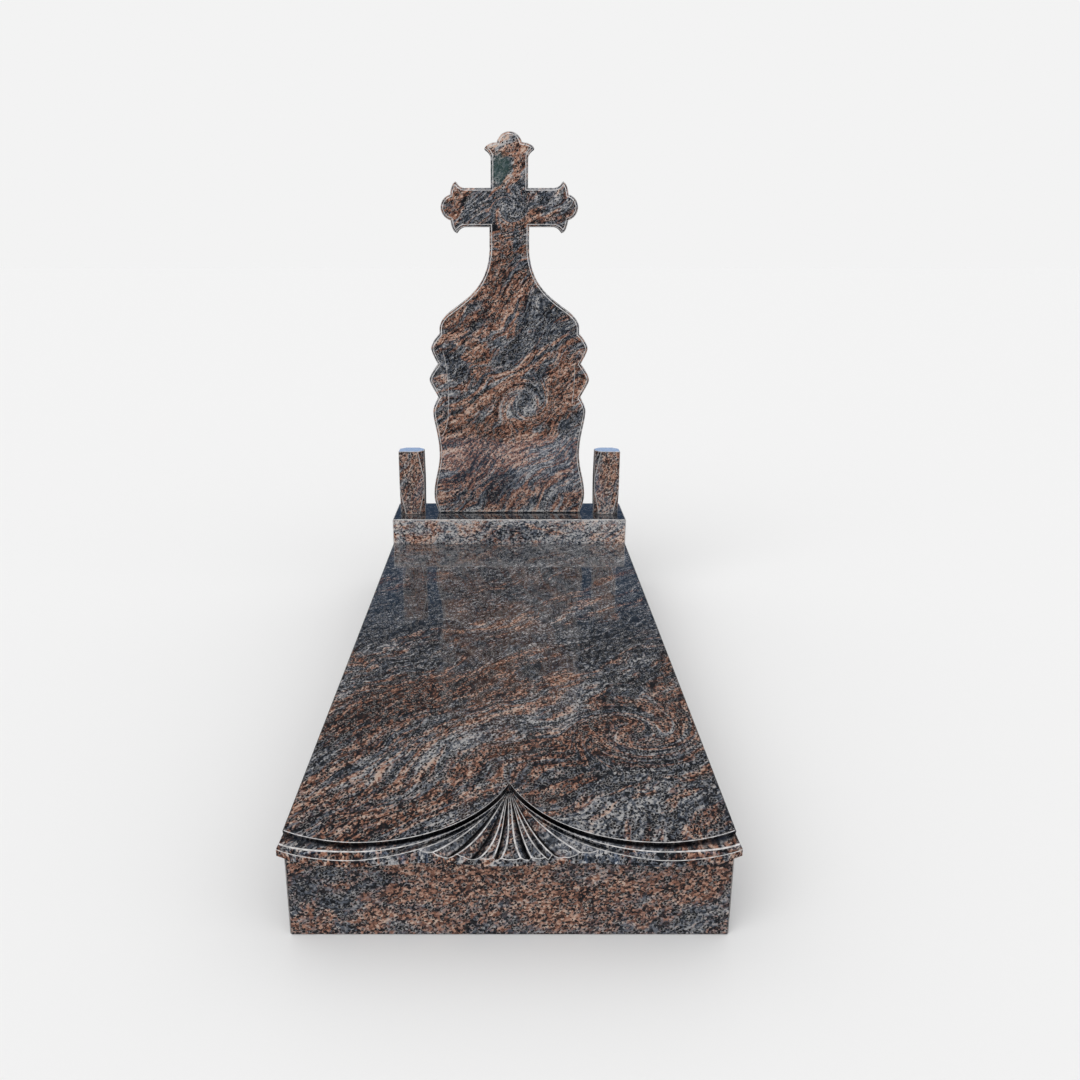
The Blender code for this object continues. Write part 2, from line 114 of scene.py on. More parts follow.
class Recipe:
    """A tree of nodes, with the ways of adding to it."""

    def __init__(self, tree: bpy.types.NodeTree) -> None:
        """Keep the tree that the nodes go into."""
        self.tree = tree

    def feed(self, socket: bpy.types.NodeSocket, value: Any) -> None:
        """Link a signal to an input, or set its number or colour.

        Args:
            socket: the input.
            value: a signal, a number, a vector or a colour.
        """
        if isinstance(value, Signal):
            self.tree.links.new(value.socket, socket)
        elif socket.type == "RGBA" and len(value) == 3:
            socket.default_value = (*value, 1.0)
        else:
            socket.default_value = value

    def node(self, kind: str, settings: dict[str, Any], inputs: dict[Any, Any],
             output: Union[int, str] = 0) -> Signal:
        """Add a node, with its settings first.

        Args:
            kind: the node's type.
            settings: its own settings; "stops" are a ramp's (place, colour) pairs.
            inputs: values or signals by socket name or number.
            output: the socket to go on from.

        Returns:
            The signal of that output.
        """
        made = self.tree.nodes.new(kind)
        for key, value in settings.items():
            if key == "stops":
                self.set_stops(made.color_ramp, value)
            else:
                setattr(made, key, value)
        for key, value in inputs.items():
            self.feed(made.inputs[key], value)
        return Signal(self, made.outputs[output])

    @staticmethod
    def set_stops(ramp: bpy.types.ColorRamp, stops: Sequence[tuple[float, Colour]]) -> None:
        """Give a colour ramp its stops.

        Args:
            ramp: the ramp.
            stops: (place, colour) pairs in order.
        """
        while len(ramp.elements) < len(stops):
            ramp.elements.new(1.0)
        for element, (place, colour) in zip(ramp.elements, stops):
            element.position = place
            element.color = (*colour, 1.0)

    def math(self, operation: str, first: Value, second: Value) -> Signal:
        """Add a Math node."""
        return self.node("ShaderNodeMath", {"operation": operation}, {0: first, 1: second})

    def vector(self, operation: str, first: Any, second: Any = (0.0, 0.0, 0.0)) -> Signal:
        """Add a Vector Math node.

        Args:
            operation: what it does.
            first: a vector.
            second: the other vector, where the operation takes two.

        Returns:
            The new vector, or a number for a length.
        """
        output = "Value" if operation == "LENGTH" else 0
        return self.node("ShaderNodeVectorMath", {"operation": operation},
                         {0: first, 1: second}, output)

    def mix(self, share: Value, first: Any, second: Any) -> Signal:
        """Mix two colours, from the first at a share of 0 to the second at 1."""
        return self.node("ShaderNodeMix", {"data_type": "RGBA"},
                         {0: share, 6: first, 7: second}, 2)

    def ramp(self, stops: Sequence[tuple[float, Colour]], value: Signal) -> Signal:
        """Turn a value into the colours of a ramp."""
        return self.node("ShaderNodeValToRGB", {"stops": stops}, {"Fac": value})

    def noise(self, place: Signal, scale: float, detail: float = 2.0, rough: float = 0.5,
              output: int = 0) -> Signal:
        """Add a noise.

        Args:
            place: the coordinates that it is read at.
            scale: waves per metre.
            detail: how many finer waves lie on it.
            rough: how strong each of them is for the one before.
            output: 0 for its value and 1 for its colour.

        Returns:
            The signal of that output.
        """
        return self.node("ShaderNodeTexNoise", {},
                         {"Vector": place, "Scale": scale, "Detail": detail,
                          "Roughness": rough}, output)

    def cells(self, place: Signal, scale: float) -> tuple[Signal, Signal, Signal, Signal]:
        """Add a pattern of crystals.

        Args:
            place: coordinates.
            scale: crystals per metre.

        Returns:
            The distance from each crystal's middle, and three numbers of its own.
        """
        reach = self.node("ShaderNodeTexVoronoi", {}, {"Vector": place, "Scale": scale})
        first = self.node("ShaderNodeSeparateColor", {}, {0: reach.also("Color")})
        return reach, first, first.also(1), first.also(2)

    def drifted(self, place: Signal, source: Signal, scale: float, reach: float) -> Signal:
        """Return coordinates pushed to and fro by a smooth random drift.

        Args:
            place: the coordinates.
            source: the coordinates that the drift is read at.
            scale: waves per metre.
            reach: how far they are pushed, in metres.

        Returns:
            The pushed coordinates.
        """
        drift = self.noise(source, scale, 1.0, 0.5, 1)
        centred = self.vector("SUBTRACT", drift, (0.5, 0.5, 0.5))
        push = self.node("ShaderNodeVectorMath", {"operation": "SCALE"},
                         {"Vector": centred, "Scale": 2.0 * reach})
        return self.vector("ADD", place, push)

    def framed(self, place: Signal, centre: Point, turn: float,
               size: tuple[float, float, float]) -> Signal:
        """Return coordinates in a turned and stretched frame on the main face.

        Args:
            place: coordinates on the face, across, up and into the stone.
            centre: the frame's middle on the face.
            turn: the frame's angle in degrees.
            size: what counts as one unit along, across and into the stone.

        Returns:
            The new coordinates.
        """
        return self.node("ShaderNodeMapping", {"vector_type": "TEXTURE"},
                         {"Vector": place, "Location": (*centre, 0.0),
                          "Rotation": (0.0, 0.0, math.radians(turn)), "Scale": size})


class MaterialRecipe(Recipe):
    """The nodes of one material, round its Principled shader."""

    def __init__(self, name: str) -> None:
        """Start a material.

        Args:
            name: the material's name.
        """
        self.material = bpy.data.materials.new(name)
        self.material.use_nodes = True
        super().__init__(self.material.node_tree)

    def object_place(self, facing: Facing) -> Signal:
        """Return the object's own coordinates, turned onto its main face.

        Args:
            facing: how the main face lies.

        Returns:
            The coordinates across, up and into the face.
        """
        place = self.node("ShaderNodeTexCoord", {}, {}, "Object")
        angles = tuple(math.radians(angle) for angle in facing.value)
        return self.node("ShaderNodeMapping", {}, {"Vector": place, "Rotation": angles})

    def painted_shade(self) -> Signal:
        """Return the painted shade that lies in the carving, from 0 to 1."""
        return self.node("ShaderNodeAttribute", {"attribute_name": SHADE_LAYER}, {}, "Fac")

    def finish(self, inputs: dict[str, Any]) -> bpy.types.Material:
        """Feed the shader.

        Args:
            inputs: signals or values by the names of the shader's inputs.

        Returns:
            The finished material.
        """
        shader = self.tree.nodes["Principled BSDF"]
        for name, value in inputs.items():
            self.feed(shader.inputs[name], value)
        return self.material


@dataclass(frozen=True)
class Wave:
    """A smooth random wave, with so many to the metre.

    layers is how many finer waves lie on it, and share how strong each is for
    the one before. start moves the wave along.
    """

    scale: float
    layers: float
    share: float
    start: Optional[tuple[float, float, float]] = None

    def level(self, recipe: Recipe, place: Signal) -> Signal:
        """Return the wave, from about 0 to 1."""
        source = recipe.vector("ADD", place, self.start) if self.start else place
        return recipe.noise(source, self.scale, self.layers, self.share)

    def swing(self, recipe: Recipe, place: Signal) -> Signal:
        """Return the wave, from about -0.5 to 0.5."""
        return self.level(recipe, place) - 0.5


@dataclass(frozen=True)
class Relief:
    """A fine unevenness: bumps to the metre, how strongly they show and how deep they are."""

    scale: float
    strength: float
    depth: float

    def normal(self, recipe: Recipe, place: Signal) -> Signal:
        """Return the surface's normal with the bumps on it.

        Args:
            recipe: the material's recipe.
            place: the coordinates that the bumps are read at.

        Returns:
            The normal.
        """
        return recipe.node("ShaderNodeBump", {},
                           {"Strength": self.strength, "Distance": self.depth,
                            "Height": recipe.noise(place, self.scale)})


# Patches and swirls go right through the stone.
THROUGH = 100.0


@dataclass(frozen=True)
class Patch:
    """A zone of the stone with a tone and a colour of its own; a few zones hold painted shade, a
    painted shadow and painted reflections instead.

    centre and size are on the piece's main face, size as half its length and
    width, and tilt is the length's angle in degrees. tone is lighter above 0
    and darker below it, warmth redder above 0 and bluer below it. stain is a
    colour that the zone takes on, if it has one. A straight patch keeps its shape
    where the others are rippled.
    """

    centre: Point
    size: tuple[float, float]
    tilt: float
    tone: float
    warmth: float
    softness: float = 0.5
    stain: Optional[Colour] = None
    straight: bool = False

    def mask(self, recipe: Recipe, place: Signal) -> Signal:
        """Return 1 inside the zone, falling to 0 outside it."""
        own = recipe.framed(place, self.centre, self.tilt, (*self.size, THROUGH))
        return 1.0 - recipe.vector("LENGTH", own).rise(1.0 - self.softness, 1.0 + self.softness)


@dataclass(frozen=True)
class Swirl:
    """A place where the bands are wound up, by so many degrees at its middle."""

    centre: Point
    radius: float
    turn: float

    def wind(self, recipe: Recipe, place: Signal) -> Signal:
        """Return the coordinates wound about the swirl's middle.

        Args:
            recipe: the material's recipe.
            place: coordinates on the face.

        Returns:
            The wound coordinates.
        """
        size = (self.radius, self.radius, THROUGH)
        own = recipe.framed(place, self.centre, 0.0, size)
        share = 1.0 - recipe.vector("LENGTH", own).rise(0.0, 1.0)
        return recipe.node("ShaderNodeVectorRotate", {"rotation_type": "Z_AXIS"},
                           {"Vector": place, "Center": (*self.centre, 0.0),
                            "Angle": share * math.radians(self.turn)})


# The colours of the cool and the warm stone, from the darkest tone to the lightest.
COOL_STOPS = (
    (0.00, (0.006, 0.007, 0.009)),
    (0.25, (0.020, 0.025, 0.032)),
    (0.45, (0.059, 0.069, 0.087)),
    (0.62, (0.120, 0.132, 0.157)),
    (0.80, (0.250, 0.250, 0.262)),
    (1.00, (0.440, 0.430, 0.425)),
)
WARM_STOPS = (
    (0.00, (0.006, 0.007, 0.009)),
    (0.25, (0.030, 0.020, 0.018)),
    (0.45, (0.125, 0.058, 0.040)),
    (0.62, (0.247, 0.117, 0.079)),
    (0.80, (0.400, 0.225, 0.160)),
    (1.00, (0.540, 0.405, 0.330)),
)
MIDDLE_TONE = 0.47
MIDDLE_WARMTH = 0.5
WARMTH_STEP = 0.3
WARM_FROM, WARM_TO = 0.38, 0.62

# The bands, from the broadest to the finest, and how far each swings the tone or the warmth.
BROAD_BANDS = Wave(6.0, 2.0, 0.5)
STREAKS = Wave(24.0, 3.0, 0.6)
THREADS = Wave(55.0, 2.0, 0.6)
HAIRS = Wave(120.0, 1.0, 0.5)
TINTS = Wave(10.0, 3.0, 0.6, (3.1, 1.7, 5.3))
TINT_LINES = Wave(42.0, 2.0, 0.6, (1.9, 4.7, 2.3))
THREAD_LENGTH = 1.5
INWARD_STRETCH = 2.0
BAND_SWING = 1.2
HAIR_SWING = 1.5
LINE_SWING = 1.3
THREAD_TINT = 0.25

# The crystals' ragged outlines, and how much their colours mingle.
RAGGED_SCALE = 260.0
RAGGED_REACH = 0.0035
MINGLING = 0.15

# Black flecks with pale rims, where each part of one starts and ends from its middle.
FLECK = (0.008, 0.008, 0.010)
FLECK_RIM = (0.42, 0.40, 0.385)
FLECK_CRYSTALS = 0.62
FLECK_CHOICE = 0.01
FLECK_FROM, FLECK_TO = 0.32, 0.44
RIM_FROM, RIM_FULL, RIM_FADING, RIM_TO = 0.36, 0.46, 0.52, 0.62
RIM_STRENGTH = 0.5
FLECK_ROUGHNESS = 0.08

# The painted shade that blackens the carving's hollows and takes their reflections away,
# stains, and the last unevenness of the polish.
PAINTED_SHADE_COLOUR = (0.002, 0.002, 0.003)
PAINTED_SHADE_STRENGTH = 0.97
CARVED_ROUGHNESS = 0.35
STAIN_STRENGTH = 0.6
POLISHED = Relief(60.0, 0.04, 0.001)


@dataclass(frozen=True)
class Granite:
    """Polished granite in flowing bands of charcoal, blue-grey, red and salmon.

    flow is the bands' angle in degrees on the main face. level and warmth move
    the whole stone lighter and redder, and start moves the pattern within it.
    folds bend the bands and ripples the zones, as pairs of waves per metre and
    reach in metres. stretch is how long the bands are for their width. banding,
    streaks, threads and hairs are how strong the bands are, from broad to fine,
    and tinting how strong their colours are. contrast is how much single
    crystals differ in tone, and crystal how many lie side by side in a metre.
    crystal_length is how long they are for their width, along crystal_turn or
    else the bands. flecks is the share of black ones. patch_tone and patch_tint
    scale what the patches do, polish is the surface's IOR and glaze its coat.
    """

    name: str
    facing: Facing
    flow: float
    level: float = 0.0
    warmth: float = 0.0
    brightness: float = 1.0
    roughness: float = 0.06
    folds: tuple[tuple[float, float], ...] = ((3.0, 0.12), (9.0, 0.040), (28.0, 0.012))
    ripples: tuple[tuple[float, float], ...] = ((14.0, 0.040),)
    stretch: float = 6.0
    banding: float = 0.5
    streaks: float = 0.5
    threads: float = 0.8
    hairs: float = 0.0
    tinting: float = 0.8
    contrast: float = 1.0
    crystal: float = 240.0
    crystal_length: float = 1.3
    crystal_turn: Optional[float] = None
    flecks: float = 0.28
    patch_tone: float = 1.0
    patch_tint: float = 0.22
    polish: float = 1.8
    glaze: float = 1.0
    start: tuple[float, float, float] = (0.0, 0.0, 0.0)
    patches: tuple[Patch, ...] = ()
    swirls: tuple[Swirl, ...] = ()

    def make(self) -> bpy.types.Material:
        """Make the stone's material.

        Returns:
            The material.
        """
        recipe = MaterialRecipe(self.name)
        face = recipe.object_place(self.facing)
        bent = face
        for swirl in self.swirls:
            bent = swirl.wind(recipe, bent)
        bent = self.folded(recipe, bent, self.folds)
        run = recipe.framed(recipe.vector("ADD", bent, self.start), (0.0, 0.0), self.flow,
                            (self.stretch, 1.0, INWARD_STRETCH))
        tone, warmth = self.bands(recipe, run)
        zones = self.folded(recipe, face, self.ripples)
        stains = []
        for patch in self.patches:
            mask = patch.mask(recipe, face if patch.straight else zones)
            if patch.tone:
                tone = tone + mask * (self.patch_tone * patch.tone)
            if patch.warmth:
                warmth = warmth + mask * (self.patch_tint * patch.warmth)
            if patch.stain:
                stains.append((mask, patch.stain))
        colour, fleck = self.crystals(recipe, face, tone, warmth)
        for mask, stain in stains:
            colour = recipe.mix(mask * STAIN_STRENGTH, colour, stain)
        # Painted shade from the mesh layer blackens the colour and, through Metallic and Coat
        # Weight, takes the reflections out of the hollows.
        shade = recipe.painted_shade()
        return recipe.finish({
            "Base Color": recipe.mix(shade * PAINTED_SHADE_STRENGTH, colour, PAINTED_SHADE_COLOUR),
            "Metallic": shade,
            "Roughness": (self.roughness + fleck * FLECK_ROUGHNESS
                          + shade * CARVED_ROUGHNESS),
            "IOR": self.polish,
            "Normal": POLISHED.normal(recipe, face),
            "Coat Weight": (1.0 - shade) * self.glaze,
            "Coat Roughness": self.roughness,
            "Coat IOR": self.polish,
        })

    def lit(self, colour: Colour) -> Colour:
        """Return a colour at the stone's brightness."""
        return tuple(self.brightness * c for c in colour)

    def folded(self, recipe: Recipe, place: Signal,
               folds: Sequence[tuple[float, float]]) -> Signal:
        """Return the coordinates bent by folds, the widest first.

        Args:
            recipe: the material's recipe.
            place: coordinates on the face.
            folds: pairs of waves per metre and reach in metres.

        Returns:
            The bent coordinates.
        """
        for scale, reach in folds:
            source = recipe.vector("ADD", place, self.start)
            place = recipe.drifted(place, source, scale, reach)
        return place

    def bands(self, recipe: Recipe, run: Signal) -> tuple[Signal, Signal]:
        """Return the tone and the warmth that the flowing bands give.

        Args:
            recipe: the material's recipe.
            run: coordinates stretched along the bands.

        Returns:
            The tone and the warmth, each about 0 to 1.
        """
        long = recipe.framed(run, (0.0, 0.0), 0.0, (THREAD_LENGTH, 1.0, 1.0))
        thread = THREADS.swing(recipe, long)
        tone = (BROAD_BANDS.swing(recipe, run) * (BAND_SWING * self.banding)
                + STREAKS.swing(recipe, run) * (BAND_SWING * self.streaks))
        tone = tone + thread * (BAND_SWING * self.threads)
        if self.hairs:
            tone = tone + HAIRS.swing(recipe, long) * (HAIR_SWING * self.hairs)
        warmth = (TINTS.swing(recipe, run) * self.tinting
                  + TINT_LINES.swing(recipe, long) * (LINE_SWING * self.tinting))
        warmth = warmth + thread * THREAD_TINT
        return (tone + (MIDDLE_TONE + self.level),
                warmth + (MIDDLE_WARMTH + WARMTH_STEP * self.warmth))

    def crystals(self, recipe: Recipe, face: Signal, tone: Signal,
                 warmth: Signal) -> tuple[Signal, Signal]:
        """Break the bands up into crystals.

        Args:
            recipe: the material's recipe.
            face: coordinates on the face.
            tone: how light the bands are.
            warmth: how red the bands are.

        Returns:
            The colour, and where a dark fleck lies.
        """
        ragged = recipe.drifted(face, face, RAGGED_SCALE, RAGGED_REACH)
        turn = self.flow if self.crystal_turn is None else self.crystal_turn
        grain = recipe.framed(ragged, (0.0, 0.0), turn, (self.crystal_length, 1.0, 1.0))
        _, light, red, _ = recipe.cells(grain, self.crystal)
        value = tone + (light - 0.5) * self.contrast
        warm = (warmth + (red - 0.5) * MINGLING).rise(WARM_FROM, WARM_TO)
        stones = [recipe.ramp([(place, self.lit(colour)) for place, colour in stops], value)
                  for stops in (COOL_STOPS, WARM_STOPS)]
        colour = recipe.mix(warm, *stones)
        reach, _, _, flake = recipe.cells(grain, FLECK_CRYSTALS * self.crystal)
        chosen = flake.rise(1.0 - FLECK_CHOICE - self.flecks, 1.0 + FLECK_CHOICE - self.flecks)
        rim = reach.rise(RIM_FROM, RIM_FULL) * (1.0 - reach.rise(RIM_FADING, RIM_TO)) * chosen
        colour = recipe.mix(rim * RIM_STRENGTH, colour, self.lit(FLECK_RIM))
        fleck = (1.0 - reach.rise(FLECK_FROM, FLECK_TO)) * chosen
        return recipe.mix(fleck, colour, FLECK), fleck


@dataclass(frozen=True)
class HonedEdgeWithPaintedHighlight:
    """The pale, finely ground strip that is left along a cut edge; it is pale also as a painted
    highlight.

    Clouds dim its colour to the dim share of it, from cloud_from to cloud_to,
    and change its roughness by the unevenness.
    """

    name: str = "honed_edge_painted_highlight"
    colour: Colour = (0.66, 0.64, 0.635)
    dim: float = 0.5
    # dark is the colour of the painted shade in the carving.
    dark: Colour = (0.004, 0.004, 0.005)
    roughness: float = 0.45
    unevenness: float = 0.1
    clouds: Wave = Wave(70.0, 4.0, 0.6)
    cloud_from: float = 0.32
    cloud_to: float = 0.66
    grit: Relief = Relief(900.0, 0.2, 0.0003)

    def make(self) -> bpy.types.Material:
        """Make the edge's material.

        Returns:
            The material.
        """
        recipe = MaterialRecipe(self.name)
        place = recipe.object_place(Facing.LYING)
        cloud = self.clouds.level(recipe, place).rise(self.cloud_from, self.cloud_to)
        dimmed = tuple(self.dim * c for c in self.colour)
        colour = recipe.mix(cloud, dimmed, self.colour)
        return recipe.finish({
            # Painted shade from the mesh layer blackens the edge in the hollows too.
            "Base Color": recipe.mix(recipe.painted_shade(), colour, self.dark),
            "Roughness": self.roughness + (cloud - 0.5) * self.unevenness,
            "Normal": self.grit.normal(recipe, place),
        })


# The zones of each stone, in metres on its main face: across from the middle and up from the
# ground, or on the cover slab back from the middle of the whole monument.
STONE_PATCHES = (
    # The first patch paints a dark line along the foot, as the shadow in the joint with the
    # plinth.
    Patch((0.0, 0.3410), (0.60, 0.0035), 0.0, -1.5, -0.5, 0.15, None, True),
    Patch((0.0, 0.3480), (0.60, 0.0035), 0.0, 0.30, -0.2, 0.3, None, True),
    Patch((0.0, 0.3520), (0.60, 0.0140), 0.0, 0.10, -0.2, 0.6, None, True),
    Patch((-0.025, 1.190), (0.130, 0.055), 62.0, -0.04, 0.6),
    Patch((0.109, 1.079), (0.172, 0.086), 30.0, -0.07, -0.8),
    Patch((0.029, 1.198), (0.078, 0.012), 53.0, 0.22, 0.7),
    Patch((0.004, 1.069), (0.067, 0.026), -8.0, 0.0, 0.6),
    Patch((-0.184, 1.120), (0.117, 0.061), 44.0, -0.02, 0.35, 0.6),
    Patch((-0.132, 1.093), (0.069, 0.023), 51.0, -0.25, -0.3),
    Patch((-0.249, 1.031), (0.056, 0.031), -30.0, 0.12, 0.4, 0.6),
    Patch((-0.222, 0.975), (0.039, 0.031), 59.0, -0.15, -0.4, 0.6),
    Patch((-0.170, 0.905), (0.032, 0.039), 79.0, -0.22, -0.2, 0.6),
    Patch((-0.091, 0.982), (0.084, 0.042), 54.0, 0.04, 0.5),
    Patch((-0.028, 0.894), (0.113, 0.025), 40.0, 0.06, -0.8),
    Patch((-0.124, 0.841), (0.064, 0.032), 40.0, -0.18, -0.5, 0.6),
    Patch((0.000, 0.914), (0.330, 0.010), 33.0, 0.12, 0.8, 0.4),
    Patch((0.000, 0.893), (0.330, 0.006), 33.0, -0.22, -0.4, 0.4),
    Patch((0.000, 0.875), (0.300, 0.010), 33.0, 0.10, 0.8, 0.4),
    Patch((-0.118, 0.783), (0.186, 0.011), 33.0, 0.12, 0.5),
    Patch((0.058, 0.787), (0.089, 0.057), 35.0, 0.20, -0.7, 0.3),
    Patch((0.069, 0.794), (0.068, 0.037), 38.0, -0.22, -0.4, 0.35),
    Patch((0.058, 0.765), (0.029, 0.012), 10.0, 0.22, -0.3),
    Patch((0.111, 0.876), (0.077, 0.030), 55.0, -0.16, -0.5),
    Patch((0.201, 0.855), (0.085, 0.054), 30.0, 0.0, 0.6),
    Patch((0.196, 0.704), (0.086, 0.037), 34.0, -0.15, -0.6),
    Patch((0.106, 0.593), (0.123, 0.081), 36.0, 0.16, -0.20, 0.5),
    Patch((0.034, 0.564), (0.051, 0.045), 0.0, 0.12, 0.2, 0.6),
    Patch((0.174, 0.474), (0.146, 0.015), 34.0, 0.14, 0.7),
    Patch((0.218, 0.443), (0.125, 0.011), 34.0, 0.10, -0.6),
    Patch((-0.198, 0.664), (0.094, 0.009), 10.0, 0.26, -0.4),
    Patch((-0.202, 0.627), (0.087, 0.007), 13.0, -0.22, -0.5),
    Patch((-0.221, 0.605), (0.080, 0.007), 14.0, 0.20, 0.1),
    Patch((-0.112, 0.616), (0.125, 0.058), 40.0, -0.05, 0.8),
    Patch((-0.164, 0.511), (0.104, 0.012), 38.0, -0.26, -0.5),
    Patch((-0.047, 0.451), (0.097, 0.046), 49.0, -0.30, -0.7),
    Patch((-0.254, 0.428), (0.060, 0.030), 40.0, 0.05, 0.5, 0.6),
)
CROSS_PATCHES = (
    Patch((0.0, 1.500), (0.36, 0.36), 0.0, -0.04, -0.1, 0.3),
    Patch((-0.036, 1.650), (0.052, 0.038), 62.0, -0.06, -0.9, 0.4, (0.040, 0.080, 0.072)),
    Patch((-0.042, 1.745), (0.052, 0.015), 33.0, 0.50, 0.4, 0.4),
    Patch((-0.016, 1.602), (0.104, 0.014), 40.0, 0.08, 0.8, 0.4),
    Patch((0.011, 1.677), (0.045, 0.019), 48.0, -0.10, -0.2),
    Patch((-0.009, 1.513), (0.057, 0.045), 29.0, -0.06, -0.5),
    Patch((-0.003, 1.507), (0.015, 0.009), 38.0, 0.20, -0.2),
    Patch((-0.064, 1.458), (0.032, 0.014), -19.0, -0.40, -0.4, 0.4),
    Patch((-0.192, 1.507), (0.046, 0.026), 48.0, 0.05, 0.8),
    Patch((-0.145, 1.513), (0.036, 0.016), 63.0, -0.02, -0.7),
    Patch((-0.168, 1.538), (0.039, 0.008), 58.0, -0.30, -0.3),
    Patch((0.146, 1.519), (0.101, 0.035), 9.0, 0.0, -0.6, 0.6),
    Patch((0.200, 1.519), (0.039, 0.004), 34.0, 0.25, 0.8),
    Patch((0.086, 1.481), (0.033, 0.020), 49.0, 0.0, 0.5),
    Patch((-0.016, 1.364), (0.059, 0.041), 69.0, 0.0, 0.5, 0.6),
    Patch((0.018, 1.384), (0.059, 0.011), 85.0, -0.05, -0.8),
    Patch((0.037, 1.708), (0.050, 0.020), 69.0, 0.03, 0.5),
)
KERB_PATCHES = (
    Patch((-0.366, 0.127), (0.125, 0.048), 4.0, -0.12, -0.7),
    Patch((-0.350, 0.069), (0.038, 0.028), 62.0, -0.08, -0.6),
    Patch((-0.244, 0.137), (0.032, 0.011), 0.0, -0.20, -0.5),
    Patch((-0.071, 0.121), (0.229, 0.070), -6.0, 0.05, 0.6, 0.6),
    Patch((0.104, 0.043), (0.051, 0.032), -23.0, 0.12, 0.7),
    Patch((-0.236, 0.043), (0.110, 0.029), -10.0, 0.10, 0.0),
    Patch((0.167, 0.146), (0.086, 0.025), 12.0, 0.02, -0.3, 0.6),
    Patch((0.400, 0.046), (0.085, 0.038), 41.0, -0.02, -0.8),
    Patch((0.294, 0.088), (0.028, 0.006), 41.0, 0.18, -0.6),
    Patch((0.384, 0.140), (0.070, 0.038), 24.0, 0.0, 0.6, 0.6),
    Patch((-0.006, 0.059), (0.032, 0.020), -64.0, -0.05, -0.7),
)
SLAB_PATCHES = (
    # The first patch darkens and blues the rear towards the plinth, as a painted dark reflection.
    Patch((0.0, 0.450), (0.90, 0.75), 0.0, -0.10, -0.40, 0.4),
    Patch((0.0, 0.640), (0.30, 0.13), 30.0, 0.02, -0.6),
    Patch((0.360, -0.370), (0.14, 0.06), 45.0, -0.12, -0.8),
    Patch((-0.220, -0.460), (0.30, 0.08), 45.0, -0.05, 0.7),
    Patch((-0.004, -0.553), (0.538, 0.059), 44.0, 0.11, 0.05),
    Patch((-0.326, -0.469), (0.211, 0.114), 59.0, -0.08, 0.55, 0.6),
    Patch((-0.075, -0.427), (0.212, 0.106), 49.0, -0.08, 0.55, 0.6),
    Patch((0.240, -0.651), (0.270, 0.127), 39.0, -0.02, 0.35, 0.6),
    Patch((-0.025, 0.035), (0.095, 0.050), 20.0, 0.26, 0.6, 0.4),
    Patch((-0.376, 0.147), (0.308, 0.107), 75.0, -0.08, -0.7, 0.6),
    Patch((0.340, -0.035), (0.239, 0.078), 59.0, -0.08, -0.7, 0.6),
    Patch((-0.347, -0.986), (0.100, 0.126), 0.0, -0.06, 0.4, 0.6),
    Patch((0.297, -0.804), (0.158, 0.098), 10.0, -0.06, -0.5),
    Patch((0.297, -0.944), (0.157, 0.056), 20.0, 0.12, 0.1),
    Patch((0.111, 0.581), (0.213, 0.113), 39.0, 0.06, -0.2, 0.6),
    Patch((-0.204, 0.581), (0.269, 0.050), 49.0, -0.02, 0.5, 0.6),
    Patch((0.211, 0.147), (0.226, 0.017), 54.0, 0.20, 0.7),
    Patch((-0.219, -0.791), (0.171, 0.056), 29.0, 0.02, -0.4),
)


# The most of a gap that an arris may take up.
CLOSE_SHARE = 0.24


@dataclass
class Row:
    """A row of points along a fold, with the shade that lies on each."""

    points: list[Vector]
    shade: list[float]

    @classmethod
    def even(cls, points: Iterable[Vector], shade: float = 0.0) -> "Row":
        """Make a row with the same shade all along."""
        points = list(points)
        return cls(points, [shade] * len(points))

    def __add__(self, other: "Row") -> "Row":
        """Join another row on at the end."""
        return Row(self.points + other.points, self.shade + other.shade)

    def cut(self, first: int, last: Optional[int] = None) -> "Row":
        """Return part of the row."""
        return Row(self.points[first:last], self.shade[first:last])

    def backwards(self) -> "Row":
        """Return the row from its other end."""
        return Row(self.points[::-1], self.shade[::-1])

    def towards(self, other: "Row", share: float, sink: float = 0.0,
                fade: float = 1.0) -> "Row":
        """Return a row part of the way to another.

        Args:
            other: a row with as many points.
            share: how far it goes, from 0 to 1.
            sink: how far the surface sags there, as a share of the gap.
            fade: how slowly the shade follows, 1 being in step.

        Returns:
            The row between them.
        """
        points = []
        for here, there in zip(self.points, other.points):
            drop = 4.0 * share * (1.0 - share) * sink * (there - here).length
            points.append(here.lerp(there, share) - Vector((0.0, 0.0, drop)))
        shade = []
        for here, there in zip(self.shade, other.shade):
            eased = share ** fade if there > here else 1.0 - (1.0 - share) ** fade
            shade.append(here + (there - here) * eased)
        return Row(points, shade)

    def edge_towards(self, other: "Row", width: float) -> "Row":
        """Return this row moved towards another, or by less where they are close.

        Args:
            other: a row with as many points.
            width: how far it is moved.

        Returns:
            The moved row.
        """
        points = []
        for here, there in zip(self.points, other.points):
            gap = there - here
            points.append(here + gap.normalized() * min(width, CLOSE_SHARE * gap.length))
        return Row(points, list(self.shade))


@dataclass(frozen=True)
class Hang:
    """How the surface hangs between two rows.

    shares are where rows lie between them, sink how far it sags as a share of
    the gap, and fade how slowly the shade of the one turns into the other's.
    """

    shares: tuple[float, ...]
    sink: float = 0.0
    fade: float = 1.0


class Strips:
    """Rows of points side by side, with the slot of the strip before each of them."""

    def __init__(self) -> None:
        """Start with no rows."""
        self.rows: list[Row] = []
        self.slots: list[int] = []

    def add(self, row: Row, slot: int = STONE_SLOT) -> None:
        """Lay a row beside the last one, with a strip of that slot between them."""
        self.rows.append(row)
        self.slots.append(slot)

    def fill(self, first: Row, second: Row, hang: Hang) -> None:
        """Lay the rows that a surface needs between two others.

        Args:
            first: the row it hangs from on the near side.
            second: the row on the far side.
            hang: how it hangs.
        """
        for share in hang.shares:
            self.add(first.towards(second, share, hang.sink, hang.fade))


